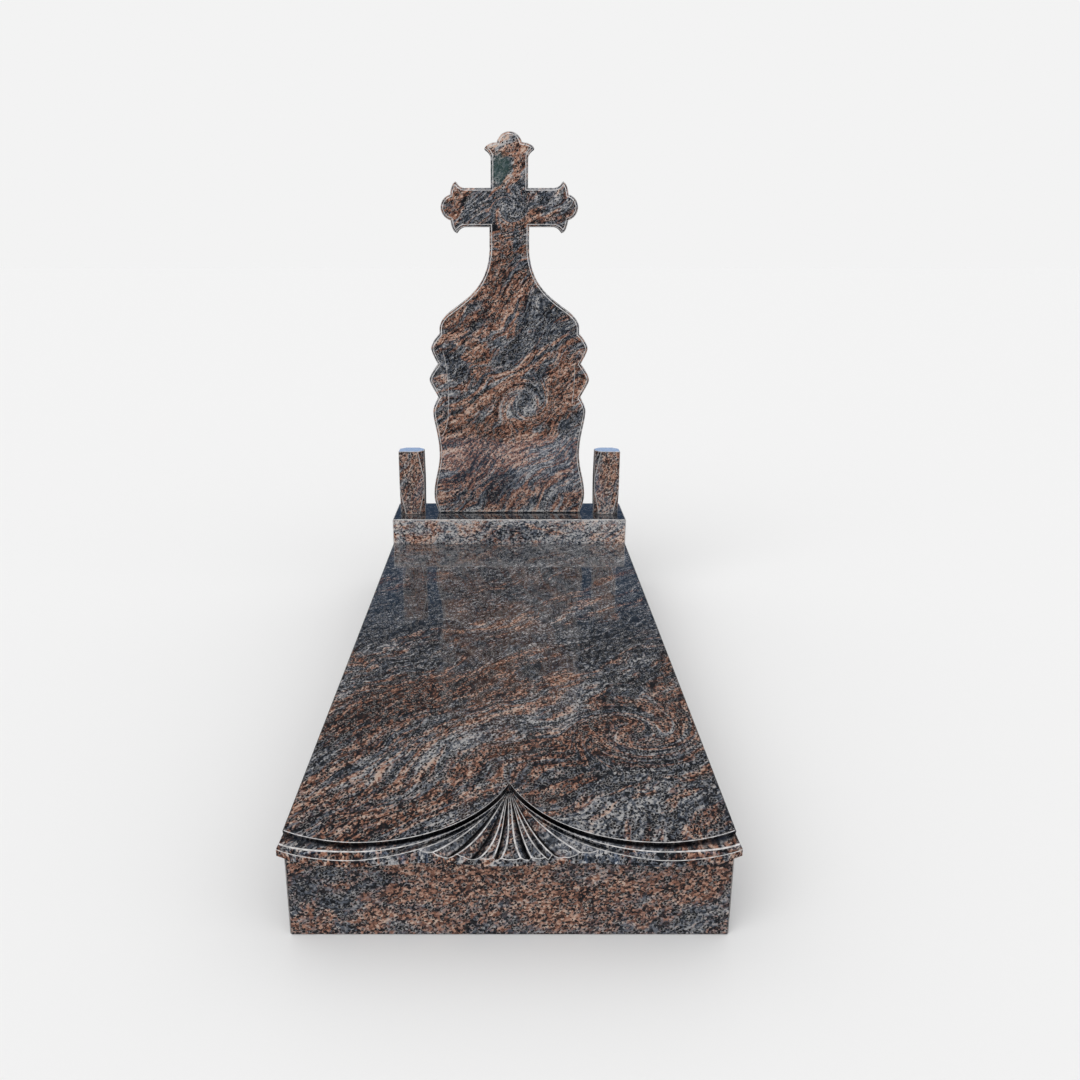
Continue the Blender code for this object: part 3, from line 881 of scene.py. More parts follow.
class Carving:
    """A mesh made by stretching surfaces between rows of points."""

    def __init__(self) -> None:
        """Start an empty mesh that can carry shade."""
        self.mesh = bmesh.new()
        self.layer = self.mesh.verts.layers.float.new(SHADE_LAYER)

    def chain(self, row: Row) -> list[BMEdge]:
        """Lay joined edges through a row's points.

        Args:
            row: the row.

        Returns:
            The edges.
        """
        verts = []
        for point, shade in zip(row.points, row.shade):
            vert = self.mesh.verts.new(point)
            vert[self.layer] = shade
            verts.append(vert)
        return [self.mesh.edges.new(pair) for pair in zip(verts, verts[1:])]

    def skin(self, first: Row, second: Row, slot: int = STONE_SLOT) -> None:
        """Stretch a surface between two rows of as many points.

        Args:
            first: one side of the surface.
            second: the other side.
            slot: the material slot of its faces.
        """
        edges = self.chain(first) + self.chain(second)
        self.paint(bmesh.ops.bridge_loops(self.mesh, edges=edges)["faces"], slot)

    def drape(self, strips: Strips) -> None:
        """Stretch a surface between each row and the next."""
        for first, second, slot in zip(strips.rows, strips.rows[1:], strips.slots[1:]):
            self.skin(first, second, slot)

    def ring(self, points: Sequence[Vector]) -> list[BMVert]:
        """Lay a closed row of edges through the points.

        Args:
            points: the points.

        Returns:
            The ring's corners.
        """
        verts = [self.mesh.verts.new(point) for point in points]
        for pair in zip(verts, verts[1:] + verts[:1]):
            self.mesh.edges.new(pair)
        return verts

    def grow(self, verts: Sequence[BMVert], points: Sequence[Vector],
             slot: int) -> list[BMVert]:
        """Extrude a closed row onto new points.

        Args:
            verts: the corners of the closed row.
            points: where each of them is drawn out to.
            slot: the material slot of the faces between.

        Returns:
            The corners of the new closed row.
        """
        around = [self.mesh.edges.get(pair) for pair in zip(verts, [*verts[1:], verts[0]])]
        made = bmesh.ops.extrude_edge_only(self.mesh, edges=around)["geom"]
        self.paint(made, slot)
        known = set(verts)
        partner = {}
        for item in made:
            if isinstance(item, BMVert):
                for edge in item.link_edges:
                    if edge.other_vert(item) in known:
                        partner[edge.other_vert(item)] = item
        following = [partner[vert] for vert in verts]
        for vert, point in zip(following, points):
            vert.co = point
        return following

    def loft(self, rings: Iterable[tuple[Sequence[Vector], int]]) -> None:
        """Draw a closed row out through others.

        Args:
            rings: the points of each closed row, and the slot of the faces before it.
        """
        verts: list[BMVert] = []
        for points, slot in rings:
            verts = self.grow(verts, points, slot) if verts else self.ring(points)

    def ease(self, arris: float) -> None:
        """Grind every edge off.

        Args:
            arris: how much is ground off.
        """
        made = bmesh.ops.bevel(self.mesh, geom=self.mesh.edges[:], offset=arris,
                               offset_type="OFFSET", affect="EDGES", segments=1,
                               profile=0.5, material=-1)
        self.paint(made["faces"], ARRIS_SLOT)

    def move(self, place: Sequence[float]) -> None:
        """Move the whole mesh."""
        bmesh.ops.translate(self.mesh, vec=place, verts=self.mesh.verts)

    def weld(self) -> None:
        """Join corners that lie on one another."""
        bmesh.ops.remove_doubles(self.mesh, verts=self.mesh.verts, dist=WELD_GAP)

    @staticmethod
    def paint(items: Iterable[Any], slot: int) -> None:
        """Give the faces among some items a material slot.

        Args:
            items: faces, edges or corners.
            slot: the slot.
        """
        for item in items:
            if isinstance(item, BMFace):
                item.material_index = slot


def flat_curve(points: Sequence[Sequence[float]], count: int) -> list[Vector]:
    """Return points along one flat cubic stretch, both ends included."""
    corners = [Vector((p[0], p[1])) for p in points]
    return [Vector((p.x, p.y)) for p in interpolate_bezier(*corners, count)]


def reading(table: Sequence[Sequence[float]], x: float) -> float:
    """Read a value off a table along straight lines.

    Args:
        table: (x, value) pairs in order.
        x: where it is read.

    Returns:
        The value there.
    """
    for (x0, v0), (x1, v1) in zip(table, table[1:]):
        if x <= x1:
            return v0 + max(0.0, (x - x0) / (x1 - x0)) * (v1 - v0)
    return table[-1][1]


def set_stone(name: str, carving: Carving, materials: Sequence[bpy.types.Material],
              node: str) -> None:
    """Turn a finished mesh into a piece on the frame.

    Args:
        name: the piece's name.
        carving: its mesh.
        materials: the materials of its slots.
        node: the CAD node it stands for.
    """
    shape = carving.mesh
    bmesh.ops.recalc_face_normals(shape, faces=shape.faces)
    for face in shape.faces:
        face.smooth = True
    for edge in shape.edges:
        faces = edge.link_faces
        edge.smooth = (len(faces) == 2 and edge.calc_face_angle(0.0) < SHARP_ANGLE
                       and faces[0].material_index == faces[1].material_index)
    mesh = bpy.data.meshes.new(name)
    shape.to_mesh(mesh)
    shape.free()
    for material in materials:
        mesh.materials.append(material)
    piece = bpy.data.objects.new(name, mesh)
    bpy.context.scene.collection.objects.link(piece)
    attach(piece, "root")
    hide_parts(node)
    LOG.info("%s: %d faces", name, len(mesh.polygons))


def sawn_block(size: Sequence[float], centre: Sequence[float], arris: float) -> Carving:
    """Make a sawn block with its edges ground off.

    Args:
        size: its full size.
        centre: where its middle lies.
        arris: how much is ground off each edge.

    Returns:
        The block.
    """
    block = Carving()
    bmesh.ops.create_cube(block.mesh, size=1.0)
    bmesh.ops.scale(block.mesh, vec=size, verts=block.mesh.verts)
    block.ease(arris)
    block.move(centre)
    return block


@dataclass
class Kerb:
    """The four panels that stand on the ground and carry the slabs."""

    width: float = 0.920
    height: float = 0.200
    thick: float = 0.060
    front_y: float = -1.080
    rear_y: float = 1.120
    arris: float = 0.003
    front_stone: Granite = Granite("kerb_front_stone", Facing.UPRIGHT, 20.0, level=-0.06,
                                   warmth=0.04, roughness=0.14, ripples=((14.0, 0.025),),
                                   stretch=2.5, banding=0.2, streaks=0.3, threads=0.35,
                                   tinting=0.5, patches=KERB_PATCHES)
    side_stone: Granite = Granite("kerb_side_stone", Facing.SIDEWAYS, 20.0, level=-0.04,
                                  warmth=0.04, roughness=0.14, stretch=3.0, banding=0.4,
                                  streaks=0.35, threads=0.4, tinting=0.7,
                                  start=(1.3, 0.4, 0.9))
    edge: HonedEdgeWithPaintedHighlight = HonedEdgeWithPaintedHighlight("kerb_edge", (0.30, 0.285, 0.28))

    def build(self) -> None:
        """Make the panels."""
        edge = self.edge.make()
        front = self.front_stone.make()
        side = self.side_stone.make()
        height = self.height - JOINT
        length = self.rear_y - self.front_y - 2.0 * (self.thick + JOINT)
        side_x = (self.width - self.thick) / 2.0
        middle_y = (self.rear_y + self.front_y) / 2.0
        across = (self.width, self.thick, height)
        along = (self.thick, length, height)
        for name, node, size, x, y, stone in (
                ("front_kerb", "kerb_front", across, 0.0, self.front_y + self.thick / 2.0, front),
                ("rear_kerb", "kerb_rear", across, 0.0, self.rear_y - self.thick / 2.0, front),
                ("left_kerb", "kerb_left", along, -side_x, middle_y, side),
                ("right_kerb", "kerb_right", along, side_x, middle_y, side)):
            panel = sawn_block(size, (x, y, height / 2.0), self.arris)
            set_stone(name, panel, (stone, edge), node)


@dataclass(frozen=True)
class Swag:
    """A swag's fold in plan, on the right half.

    The first number of a point is measured from the middle and the second back
    from the foremost lip. The fold leaves the gather with a heading in degrees,
    comes forward to its lowest point and sweeps back to the side. depths are
    below the top at the DEPTH_STATIONS, shade how dark it is, by distance from
    the middle.
    """

    start: Point
    heading: float
    reach: float
    low: Point
    low_reach: float
    end: Point
    depths: tuple[float, ...]
    shade: tuple[tuple[float, float], ...] = ((0.0, 0.0), (1.0, 0.0))


# The distances from the middle at which a fold's depths are given, and the folds from the
# arris of the top to the hem.
DEPTH_STATIONS = (0.0, 0.10, 0.20, 0.30, 0.474)
SWAGS = (
    Swag((0.0000, 0.2455), 22.8, 0.0306, (0.3122, 0.0262), 0.2314, (0.4620, 0.0672),
         (0.0, 0.0, 0.0, 0.0, 0.0)),
    Swag((0.0048, 0.2335), 5.0, 0.0301, (0.3052, 0.0236), 0.2089, (0.4650, 0.0614),
         (0.0090, 0.0100, 0.0100, 0.0100, 0.0100),
         ((0.0, 0.5), (0.04, 1.0), (0.12, 1.0), (0.22, 0.86), (0.34, 0.80), (0.46, 0.66))),
    Swag((0.0070, 0.2262), 5.0, 0.0327, (0.3160, 0.0123), 0.1978, (0.4660, 0.0367),
         (0.0098, 0.0108, 0.0115, 0.0120, 0.0115)),
    Swag((0.0078, 0.2245), 5.0, 0.0627, (0.3270, 0.0053), 0.1719, (0.4690, 0.0364),
         (0.0110, 0.0175, 0.0200, 0.0220, 0.0205), ((0.15, 1.0), (0.24, 0.25), (1.0, 0.0))),
    Swag((0.0084, 0.2230), 9.1, 0.0578, (0.3232, 0.0019), 0.2141, (0.4740, 0.0389),
         (0.0105, 0.0140, 0.0195, 0.0260, 0.0255)),
)


class Fold(Enum):
    """What a line of the fan is; the value is the painted shade that lies on it."""

    RIDGE = 0.0
    HOLLOW = 0.08
    DIP = 0.5
    VALLEY = 1.0


@dataclass(frozen=True)
class Pleat:
    """A line of the fan, with its foot on the lip and its headings in degrees.

    left and right are how quickly the shade fades on either side of it, below
    1 where a face lies wholly in shade.
    """

    kind: Fold
    foot_x: float = 0.0
    foot_back: float = 0.0
    depth: float = 0.0
    heading: float = 0.0
    foot_heading: float = 0.0
    left: float = 4.0
    right: float = 4.0


# The lines of the fan, from left to right.
FAN = (
    Pleat(Fold.RIDGE, -0.1535, 0.0198, 0.0180, -20.0, -60.0),
    Pleat(Fold.HOLLOW, -0.1380, 0.0172, 0.0250, -20.5, -53.0),
    Pleat(Fold.VALLEY, -0.1230, 0.0152, 0.0275, -21.0, -46.0, 4.0, 0.5),
    Pleat(Fold.RIDGE, -0.1049, 0.0146, 0.0180, -18.0, -50.0),
    Pleat(Fold.HOLLOW, -0.0910, 0.0118, 0.0225, -17.0, -44.0),
    Pleat(Fold.VALLEY, -0.0765, 0.0105, 0.0280, -16.0, -37.0, 4.0, 1.2),
    Pleat(Fold.RIDGE, -0.0584, 0.0072, 0.0210, -12.5, -41.0),
    Pleat(Fold.HOLLOW, -0.0450, 0.0066, 0.0240, -12.0, -30.0),
    Pleat(Fold.RIDGE, -0.0321, 0.0074, 0.0215, -11.0, -20.0),
    Pleat(Fold.VALLEY, -0.0272, 0.0085, 0.0285, -5.0, -14.0, 0.4, 1.4),
    Pleat(Fold.RIDGE, -0.0161, 0.0069, 0.0220, -4.0, -22.0),
    Pleat(Fold.HOLLOW, 0.0035, 0.0055, 0.0245, 1.0, 1.0),
    Pleat(Fold.RIDGE, 0.0229, 0.0074, 0.0220, 7.0, 20.0),
    Pleat(Fold.VALLEY, 0.0395, 0.0092, 0.0285, 8.5, 18.0, 1.2, 0.4),
    Pleat(Fold.RIDGE, 0.0436, 0.0090, 0.0215, 12.0, 20.0),
    Pleat(Fold.HOLLOW, 0.0570, 0.0080, 0.0240, 12.0, 30.0),
    Pleat(Fold.RIDGE, 0.0716, 0.0088, 0.0210, 12.5, 38.0),
    Pleat(Fold.DIP, 0.0785, 0.0110, 0.0280, 14.0, 31.0, 1.0, 1.0),
    Pleat(Fold.RIDGE, 0.0854, 0.0140, 0.0180, 15.0, 37.0),
    Pleat(Fold.VALLEY, 0.0980, 0.0145, 0.0262, 17.0, 42.0, 0.4, 3.0),
    Pleat(Fold.HOLLOW, 0.1110, 0.0150, 0.0255, 19.0, 46.0),
    Pleat(Fold.HOLLOW, 0.1265, 0.0170, 0.0250, 19.5, 48.0),
    Pleat(Fold.RIDGE, 0.1418, 0.0198, 0.0180, 19.0, 52.0),
)

# How far back the drapery's foot stands from the foremost lip, by distance from the middle.
HEM_FOOT = ((0.0, 0.0034), (0.06, 0.0050), (0.11, 0.0110), (0.18, 0.0150), (0.25, 0.0065),
            (0.3265, 0.0004), (0.40, 0.0095), (0.44, 0.0215), (0.474, 0.0385))

# How the cloth hangs from fold to fold, and on either side of a pleat.
LEDGE_DROPS = ((0.30, 0.0030), (0.65, 0.0024))
STEP_HANG = Hang((0.12, 0.30, 0.60, 0.85), 0.03, 5.0)
GROOVE_HANG = Hang((0.30, 0.55, 0.80), 0.05, 3.0)
HEM_HANG = Hang((0.45,), 0.0, 1.6)
PLEAT_HANG = Hang((0.25, 0.50, 0.75), 0.10)


@dataclass
class CoverSlab:
    """The slab over the grave, carved at its front end as a gathered cloth.

    half_length is how far the foremost lip lies from the middle of the whole
    monument. The lines are the honed strips along the edges, pale also as painted
    highlights, and step_line is given above and below its edge, lip_line forward
    and down. The gather fields say how dark the painted shade on the folds grows
    towards the pit, rim_dark, pit_brim_dark and pit_dark are painted shade too,
    the collar fields say how the pleats start round it, and each reach how far a
    fold keeps its heading.
    """

    half_length: float = 1.125
    half_width: float = 0.465
    length: float = 2.000
    top: float = 0.240
    thick: float = 0.040
    arris: float = 0.003
    line: float = 0.0021
    rim_line: float = 0.0009
    rim_share: float = 0.12
    rim_dark: float = 0.9
    step_line: tuple[float, float] = (0.0030, 0.0015)
    lip_line: tuple[float, float] = (0.0008, 0.0013)
    hem_back: float = 0.090
    end_reach: float = 0.048
    end_pull: tuple[float, float] = (0.75, 0.45)
    swag_points: int = 150
    pleat_points: int = 50
    inner_fineness: int = 240
    outer_fineness: int = 120
    gather_share: float = 0.375
    gather_dark: float = 0.45
    gather_core: float = 0.004
    gather_reach: float = 0.045
    gather_fade: float = 0.6
    collar_half: float = 0.0075
    collar_back: float = 0.2225
    collar_bow: float = 0.003
    collar_depth: float = 0.0105
    collar_slant: float = 0.25
    even_depth: float = 0.0220
    pit_depth: float = 0.014
    pit_behind: float = 0.008
    pit_brim_dark: float = 0.25
    pit_dark: float = 0.5
    pleat_reach: float = 0.060
    foot_reach: float = 0.063
    stone: Granite = Granite("cover_slab_stone", Facing.LYING, 44.0, level=-0.06, warmth=-0.23,
                             brightness=0.92, roughness=0.05, polish=1.6, glaze=0.65,
                             banding=0.35, threads=1.1, hairs=0.9, tinting=1.35,
                             crystal=220.0, crystal_length=1.6, crystal_turn=75.0, flecks=0.38,
                             folds=((1.6, 0.20), (5.0, 0.06), (16.0, 0.018)),
                             patch_tone=1.2, patch_tint=0.30, start=(0.7, 2.1, 0.3),
                             patches=SLAB_PATCHES,
                             swirls=(Swirl((0.307, -0.652), 0.20, 190.0),))
    edge: HonedEdgeWithPaintedHighlight = HonedEdgeWithPaintedHighlight("slab_edge")

    def stations(self) -> list[float]:
        """List the shares of a swag's width where its points lie, gather to side.

        Returns:
            The shares, which lie closer where the fan joins on.
        """
        last = self.pleat_points - 1
        rest = self.swag_points - self.pleat_points
        inner = [self.gather_share * i / last for i in range(self.pleat_points)]
        outer = [self.gather_share + (1.0 - self.gather_share) * (i + 1) / rest
                 for i in range(rest)]
        return inner + outer

    def gather_shade(self, point: Vector) -> float:
        """Return how dark a point is from its nearness to the pit.

        Args:
            point: the point.

        Returns:
            Its shade.
        """
        middle = Vector((0.0, self.collar_back - self.half_length))
        share = ((point.xy - middle).length - self.gather_core) / self.gather_reach
        return self.gather_dark * (1.0 - min(1.0, max(0.0, share)) ** self.gather_fade)

    def shaded(self, points: Sequence[Vector], shades: Sequence[float]) -> Row:
        """Make a row with shades that deepen towards the pit."""
        return Row(list(points), [max(own, self.gather_shade(point))
                                  for point, own in zip(points, shades)])

    def swag_row(self, swag: Swag, side: float) -> Row:
        """Lay out a swag's fold from the gather to the slab's side.

        Args:
            swag: the fold.
            side: -1 for the left half and 1 for the right.

        Returns:
            The fold's row.
        """
        turn = math.radians(swag.heading)
        out = (swag.start[0] + swag.reach * math.sin(turn),
               swag.start[1] - swag.reach * math.cos(turn))
        low_in = (swag.low[0] - swag.low_reach, swag.low[1])
        low_out = (swag.low[0] + self.end_reach, swag.low[1])
        end_in = (swag.end[0] - self.end_pull[0] * self.end_reach,
                  swag.end[1] - self.end_pull[1] * self.end_reach)
        dense = flat_curve((swag.start, out, low_in, swag.low), self.inner_fineness)
        dense += flat_curve((swag.low, low_out, end_in, swag.end), self.outer_fineness)[1:]
        depths = list(zip(DEPTH_STATIONS, swag.depths))
        points = []
        for share in self.stations():
            x = swag.start[0] + share * (swag.end[0] - swag.start[0])
            height = self.top - reading(depths, x)
            points.append(Vector((side * x, reading(dense, x) - self.half_length, height)))
        return self.shaded(points, [reading(swag.shade, abs(p.x)) for p in points])

    def pleat_row(self, index: int) -> Row:
        """Lay out one line of the fan from the gather to its foot on the lip.

        Args:
            index: its number in the FAN.

        Returns:
            The line's row.
        """
        pleat = FAN[index]
        start_x = self.collar_half * (2.0 * index / (len(FAN) - 1) - 1.0)
        bow = math.sqrt(max(0.0, 1.0 - (start_x / self.collar_half) ** 2))
        start = (start_x, self.collar_back - self.collar_bow * bow)
        foot = (pleat.foot_x, pleat.foot_back)
        leave = math.radians(pleat.heading)
        arrive = math.radians(pleat.foot_heading)
        out = (start[0] + self.pleat_reach * math.sin(leave),
               start[1] - self.pleat_reach * math.cos(leave))
        back = (foot[0] - self.foot_reach * math.sin(arrive),
                foot[1] + self.foot_reach * math.cos(arrive))
        first = self.collar_depth + self.collar_slant * max(0.0, pleat.depth - self.even_depth)
        points = []
        for step, point in enumerate(flat_curve((start, out, back, foot), self.pleat_points)):
            share = step / (self.pleat_points - 1)
            height = self.top - first - share * (pleat.depth - first)
            points.append(Vector((point.x, point.y - self.half_length, height)))
        return self.shaded(points, [pleat.kind.value] * len(points))

    def swag_strips(self, side: float) -> Strips:
        """Lay out one swag, from the arris of the top to the hem.

        Args:
            side: -1 for the left half and 1 for the right.

        Returns:
            Its rows.
        """
        arris, foot, step, groove, hem = [self.swag_row(swag, side) for swag in SWAGS]
        # The rows' shade is painted shade, darkest on the riser under the arris and in the groove
        # near the fan.
        ledge = arris.edge_towards(foot, self.rim_line)
        swag = Strips()
        swag.add(Row.even([p + Vector((0.0, self.rim_line, 0.0)) for p in arris.points]))
        swag.add(ledge, ARRIS_SLOT)
        swag.add(Row(ledge.towards(foot, self.rim_share).points,
                     [self.rim_dark * dark for dark in foot.shade]))
        for share, drop in LEDGE_DROPS:
            middle = ledge.towards(foot, share)
            swag.add(Row([p - Vector((0.0, 0.0, drop)) for p in middle.points], foot.shade))
        swag.add(foot)
        swag.fill(foot, step, STEP_HANG)
        swag.add(step.edge_towards(foot, self.step_line[0]))
        swag.add(step.edge_towards(groove, self.step_line[1]), ARRIS_SLOT)
        swag.fill(step, groove, GROOVE_HANG)
        swag.add(groove)
        swag.fill(groove, hem, HEM_HANG)
        swag.add(hem.edge_towards(groove, self.line))
        return swag

    def fan_strips(self, first: Row, last: Row) -> Strips:
        """Lay out the fan, from left to right.

        Args:
            first: the hem of the left swag, as far as the fan goes.
            last: the hem of the right swag.

        Returns:
            Its rows.
        """
        lines = [first, *(self.pleat_row(index) for index in range(len(FAN))), last]
        pleats = [Pleat(Fold.RIDGE), *FAN, Pleat(Fold.RIDGE)]
        fan = Strips()
        for index, (line, pleat) in enumerate(zip(lines, pleats)):
            ridge = pleat.kind is Fold.RIDGE
            if index > 0:
                before = pleats[index - 1]
                end = line.edge_towards(lines[index - 1], self.line) if ridge else line
                fade = pleat.left if pleat.kind.value > before.kind.value else before.right
                fan.fill(fan.rows[-1], end, replace(PLEAT_HANG, fade=fade))
                fan.add(end)
            if ridge and index < len(lines) - 1:
                fan.add(line.edge_towards(lines[index + 1], self.line), ARRIS_SLOT)
        return fan

    def straight_row(self, row: Row, y: float, z: float, half: float) -> Row:
        """Return a straight row across the slab with a point for each given one."""
        widest = max(abs(p.x) for p in row.points)
        return Row.even([Vector((p.x * half / widest, y, z)) for p in row.points])

    def build(self) -> None:
        """Carve the slab."""
        carving = Carving()
        split = self.pleat_points
        left, right = [self.swag_strips(side) for side in (-1.0, 1.0)]
        fan = self.fan_strips(*(self.swag_row(SWAGS[-1], side).cut(0, split)
                                for side in (-1.0, 1.0)))
        carving.drape(left)
        carving.drape(right)
        for swag, inner in ((left, fan.rows[0]), (right, fan.rows[-1])):
            carving.skin(swag.rows[-1].cut(0, split), inner, ARRIS_SLOT)
        carving.drape(fan)
        feet = Row.even([row.points[-1] for row in fan.rows])
        lip = left.rows[-1].cut(split - 1).backwards() + feet + right.rows[-1].cut(split - 1)
        self.close(carving, left.rows[0].backwards() + right.rows[0].cut(1), lip)
        self.sink_pit(carving, [row.points[0] for row in
                                [*left.rows, *fan.rows, *right.rows[:0:-1]]])
        carving.weld()
        for sign in (-1.0, 1.0):
            gap = [edge for edge in carving.mesh.edges
                   if edge.is_boundary and edge.verts[0].co.x * sign > 0.0]
            bmesh.ops.triangle_fill(carving.mesh, use_beauty=True, edges=gap)
        set_stone("draped_cover_slab", carving, (self.stone.make(), self.edge.make()),
                  "ledger")

    def close(self, carving: Carving, arris: Row, lip: Row) -> None:
        """Add the lip's edge, the front below it, the top, the underside and the head end.

        Args:
            carving: the slab's mesh.
            arris: the row along the whole front of the top, from left to right.
            lip: the row along the whole lip, from left to right.
        """
        under = self.top - self.thick
        edge_z = self.top - self.arris
        head_y = self.length - self.half_length - JOINT
        step = Vector((0.0, -self.lip_line[0], -self.lip_line[1]))
        rim = Row([p + step for p in lip.points], lip.shade)
        hem = Row.even([Vector((p.x, reading(HEM_FOOT, abs(p.x)) - self.half_length, under))
                        for p in rim.points])
        top_half = self.half_width - self.arris
        top_back = self.straight_row(arris, head_y, self.top, top_half)
        under_front = self.straight_row(hem, self.hem_back - self.half_length, under,
                                        self.half_width)
        under_back = self.straight_row(hem, head_y, under, self.half_width)
        end_back = self.straight_row(hem, head_y, self.top, top_half)
        carving.skin(lip, rim, ARRIS_SLOT)
        for first, second in ((rim, hem), (hem, under_front), (under_front, under_back),
                              (arris, top_back), (end_back, under_back)):
            carving.skin(first, second)
        for end in (0, -1):
            side = math.copysign(self.half_width, arris.points[end].x)
            front = Vector((side, arris.points[end].y, edge_z))
            rear = Vector((side, head_y, edge_z))
            carving.skin(Row.even([arris.points[end], top_back.points[end]]),
                         Row.even([front, rear]), ARRIS_SLOT)

    def sink_pit(self, carving: Carving, collar: Sequence[Vector]) -> None:
        """Sink the small hollow where all the folds are gathered.

        Args:
            carving: the slab's mesh.
            collar: the points round the hollow.
        """
        verts = [carving.mesh.verts.new(point) for point in collar]
        # The brim and the middle of the hollow carry painted shade.
        for vert in verts:
            vert[carving.layer] = self.pit_brim_dark
        face = carving.mesh.faces.new(verts)
        middle = bmesh.ops.poke(carving.mesh, faces=[face])["verts"][0]
        back = self.collar_back + self.pit_behind - self.half_length
        middle.co = (0.0, back, self.top - self.pit_depth)
        middle[carving.layer] = self.pit_dark


@dataclass
class Plinth:
    """The block across the head end that carries the headstone and the posts."""

    width: float = 0.930
    depth: float = 0.250
    rear_y: float = 1.125
    bottom: float = 0.200
    top: float = 0.340
    arris: float = 0.0035
    stone: Granite = Granite("plinth_stone", Facing.UPRIGHT, 14.0, level=0.12, warmth=-0.12,
                             brightness=1.25, ripples=(), stretch=2.5, banding=0.45,
                             streaks=0.7, threads=0.5, tinting=0.7, crystal=200.0,
                             polish=1.6, glaze=0.7, start=(2.2, 0.9, 1.4),
                             # The first patch darkens and blues the top and its front edge, as
                             # painted shade and a painted dark blue reflection.
                             patches=(Patch((0.0, 0.360), (3.0, 0.0225), 0.0, -0.85, -1.5, 0.1),
                                      Patch((0.0, 0.331), (3.0, 0.009), 0.0, 0.14, -0.3, 0.6)))
    edge: HonedEdgeWithPaintedHighlight = HonedEdgeWithPaintedHighlight("plinth_edge", (0.56, 0.54, 0.53))

    def build(self) -> None:
        """Make the block."""
        size = (self.width, self.depth, self.top - self.bottom)
        centre = (0.0, self.rear_y - self.depth / 2.0, (self.top + self.bottom) / 2.0)
        set_stone("plinth_block", sawn_block(size, centre, self.arris),
                  (self.stone.make(), self.edge.make()), "plinth")


@dataclass(frozen=True)
class Turn:
    """A point of an outline, with the stretch of curve that ends there.

    arrive and leave are the outline's directions in degrees, reach_in and
    reach_out how far its curve keeps them as a share of the distance. A
    stretch of one point is straight.
    """

    across: float
    up: float
    arrive: float
    leave: float
    reach_in: float
    reach_out: float
    points: int

    def place(self) -> Vector:
        """Return where the point lies."""
        return Vector((self.across, self.up))


def heading(degrees: float) -> Vector:
    """Return the flat direction at an angle."""
    return Vector((math.cos(math.radians(degrees)), math.sin(math.radians(degrees))))


# Two lines are parallel where the area that their directions span is under this.
PARALLEL = 1e-9

# Two fine scratches down the headstone's front, as the handles of their curves.
SCRATCHES = (
    (((-0.2600, 0.655), (-0.243, 0.60), (-0.2362, 0.52), (-0.2404, 0.42)),
     ((-0.2404, 0.42), (-0.2425, 0.375), (-0.250, 0.345), (-0.268, 0.315))),
    (((0.2550, 0.60), (0.2560, 0.55), (0.2540, 0.49), (0.2460, 0.443)),),
)


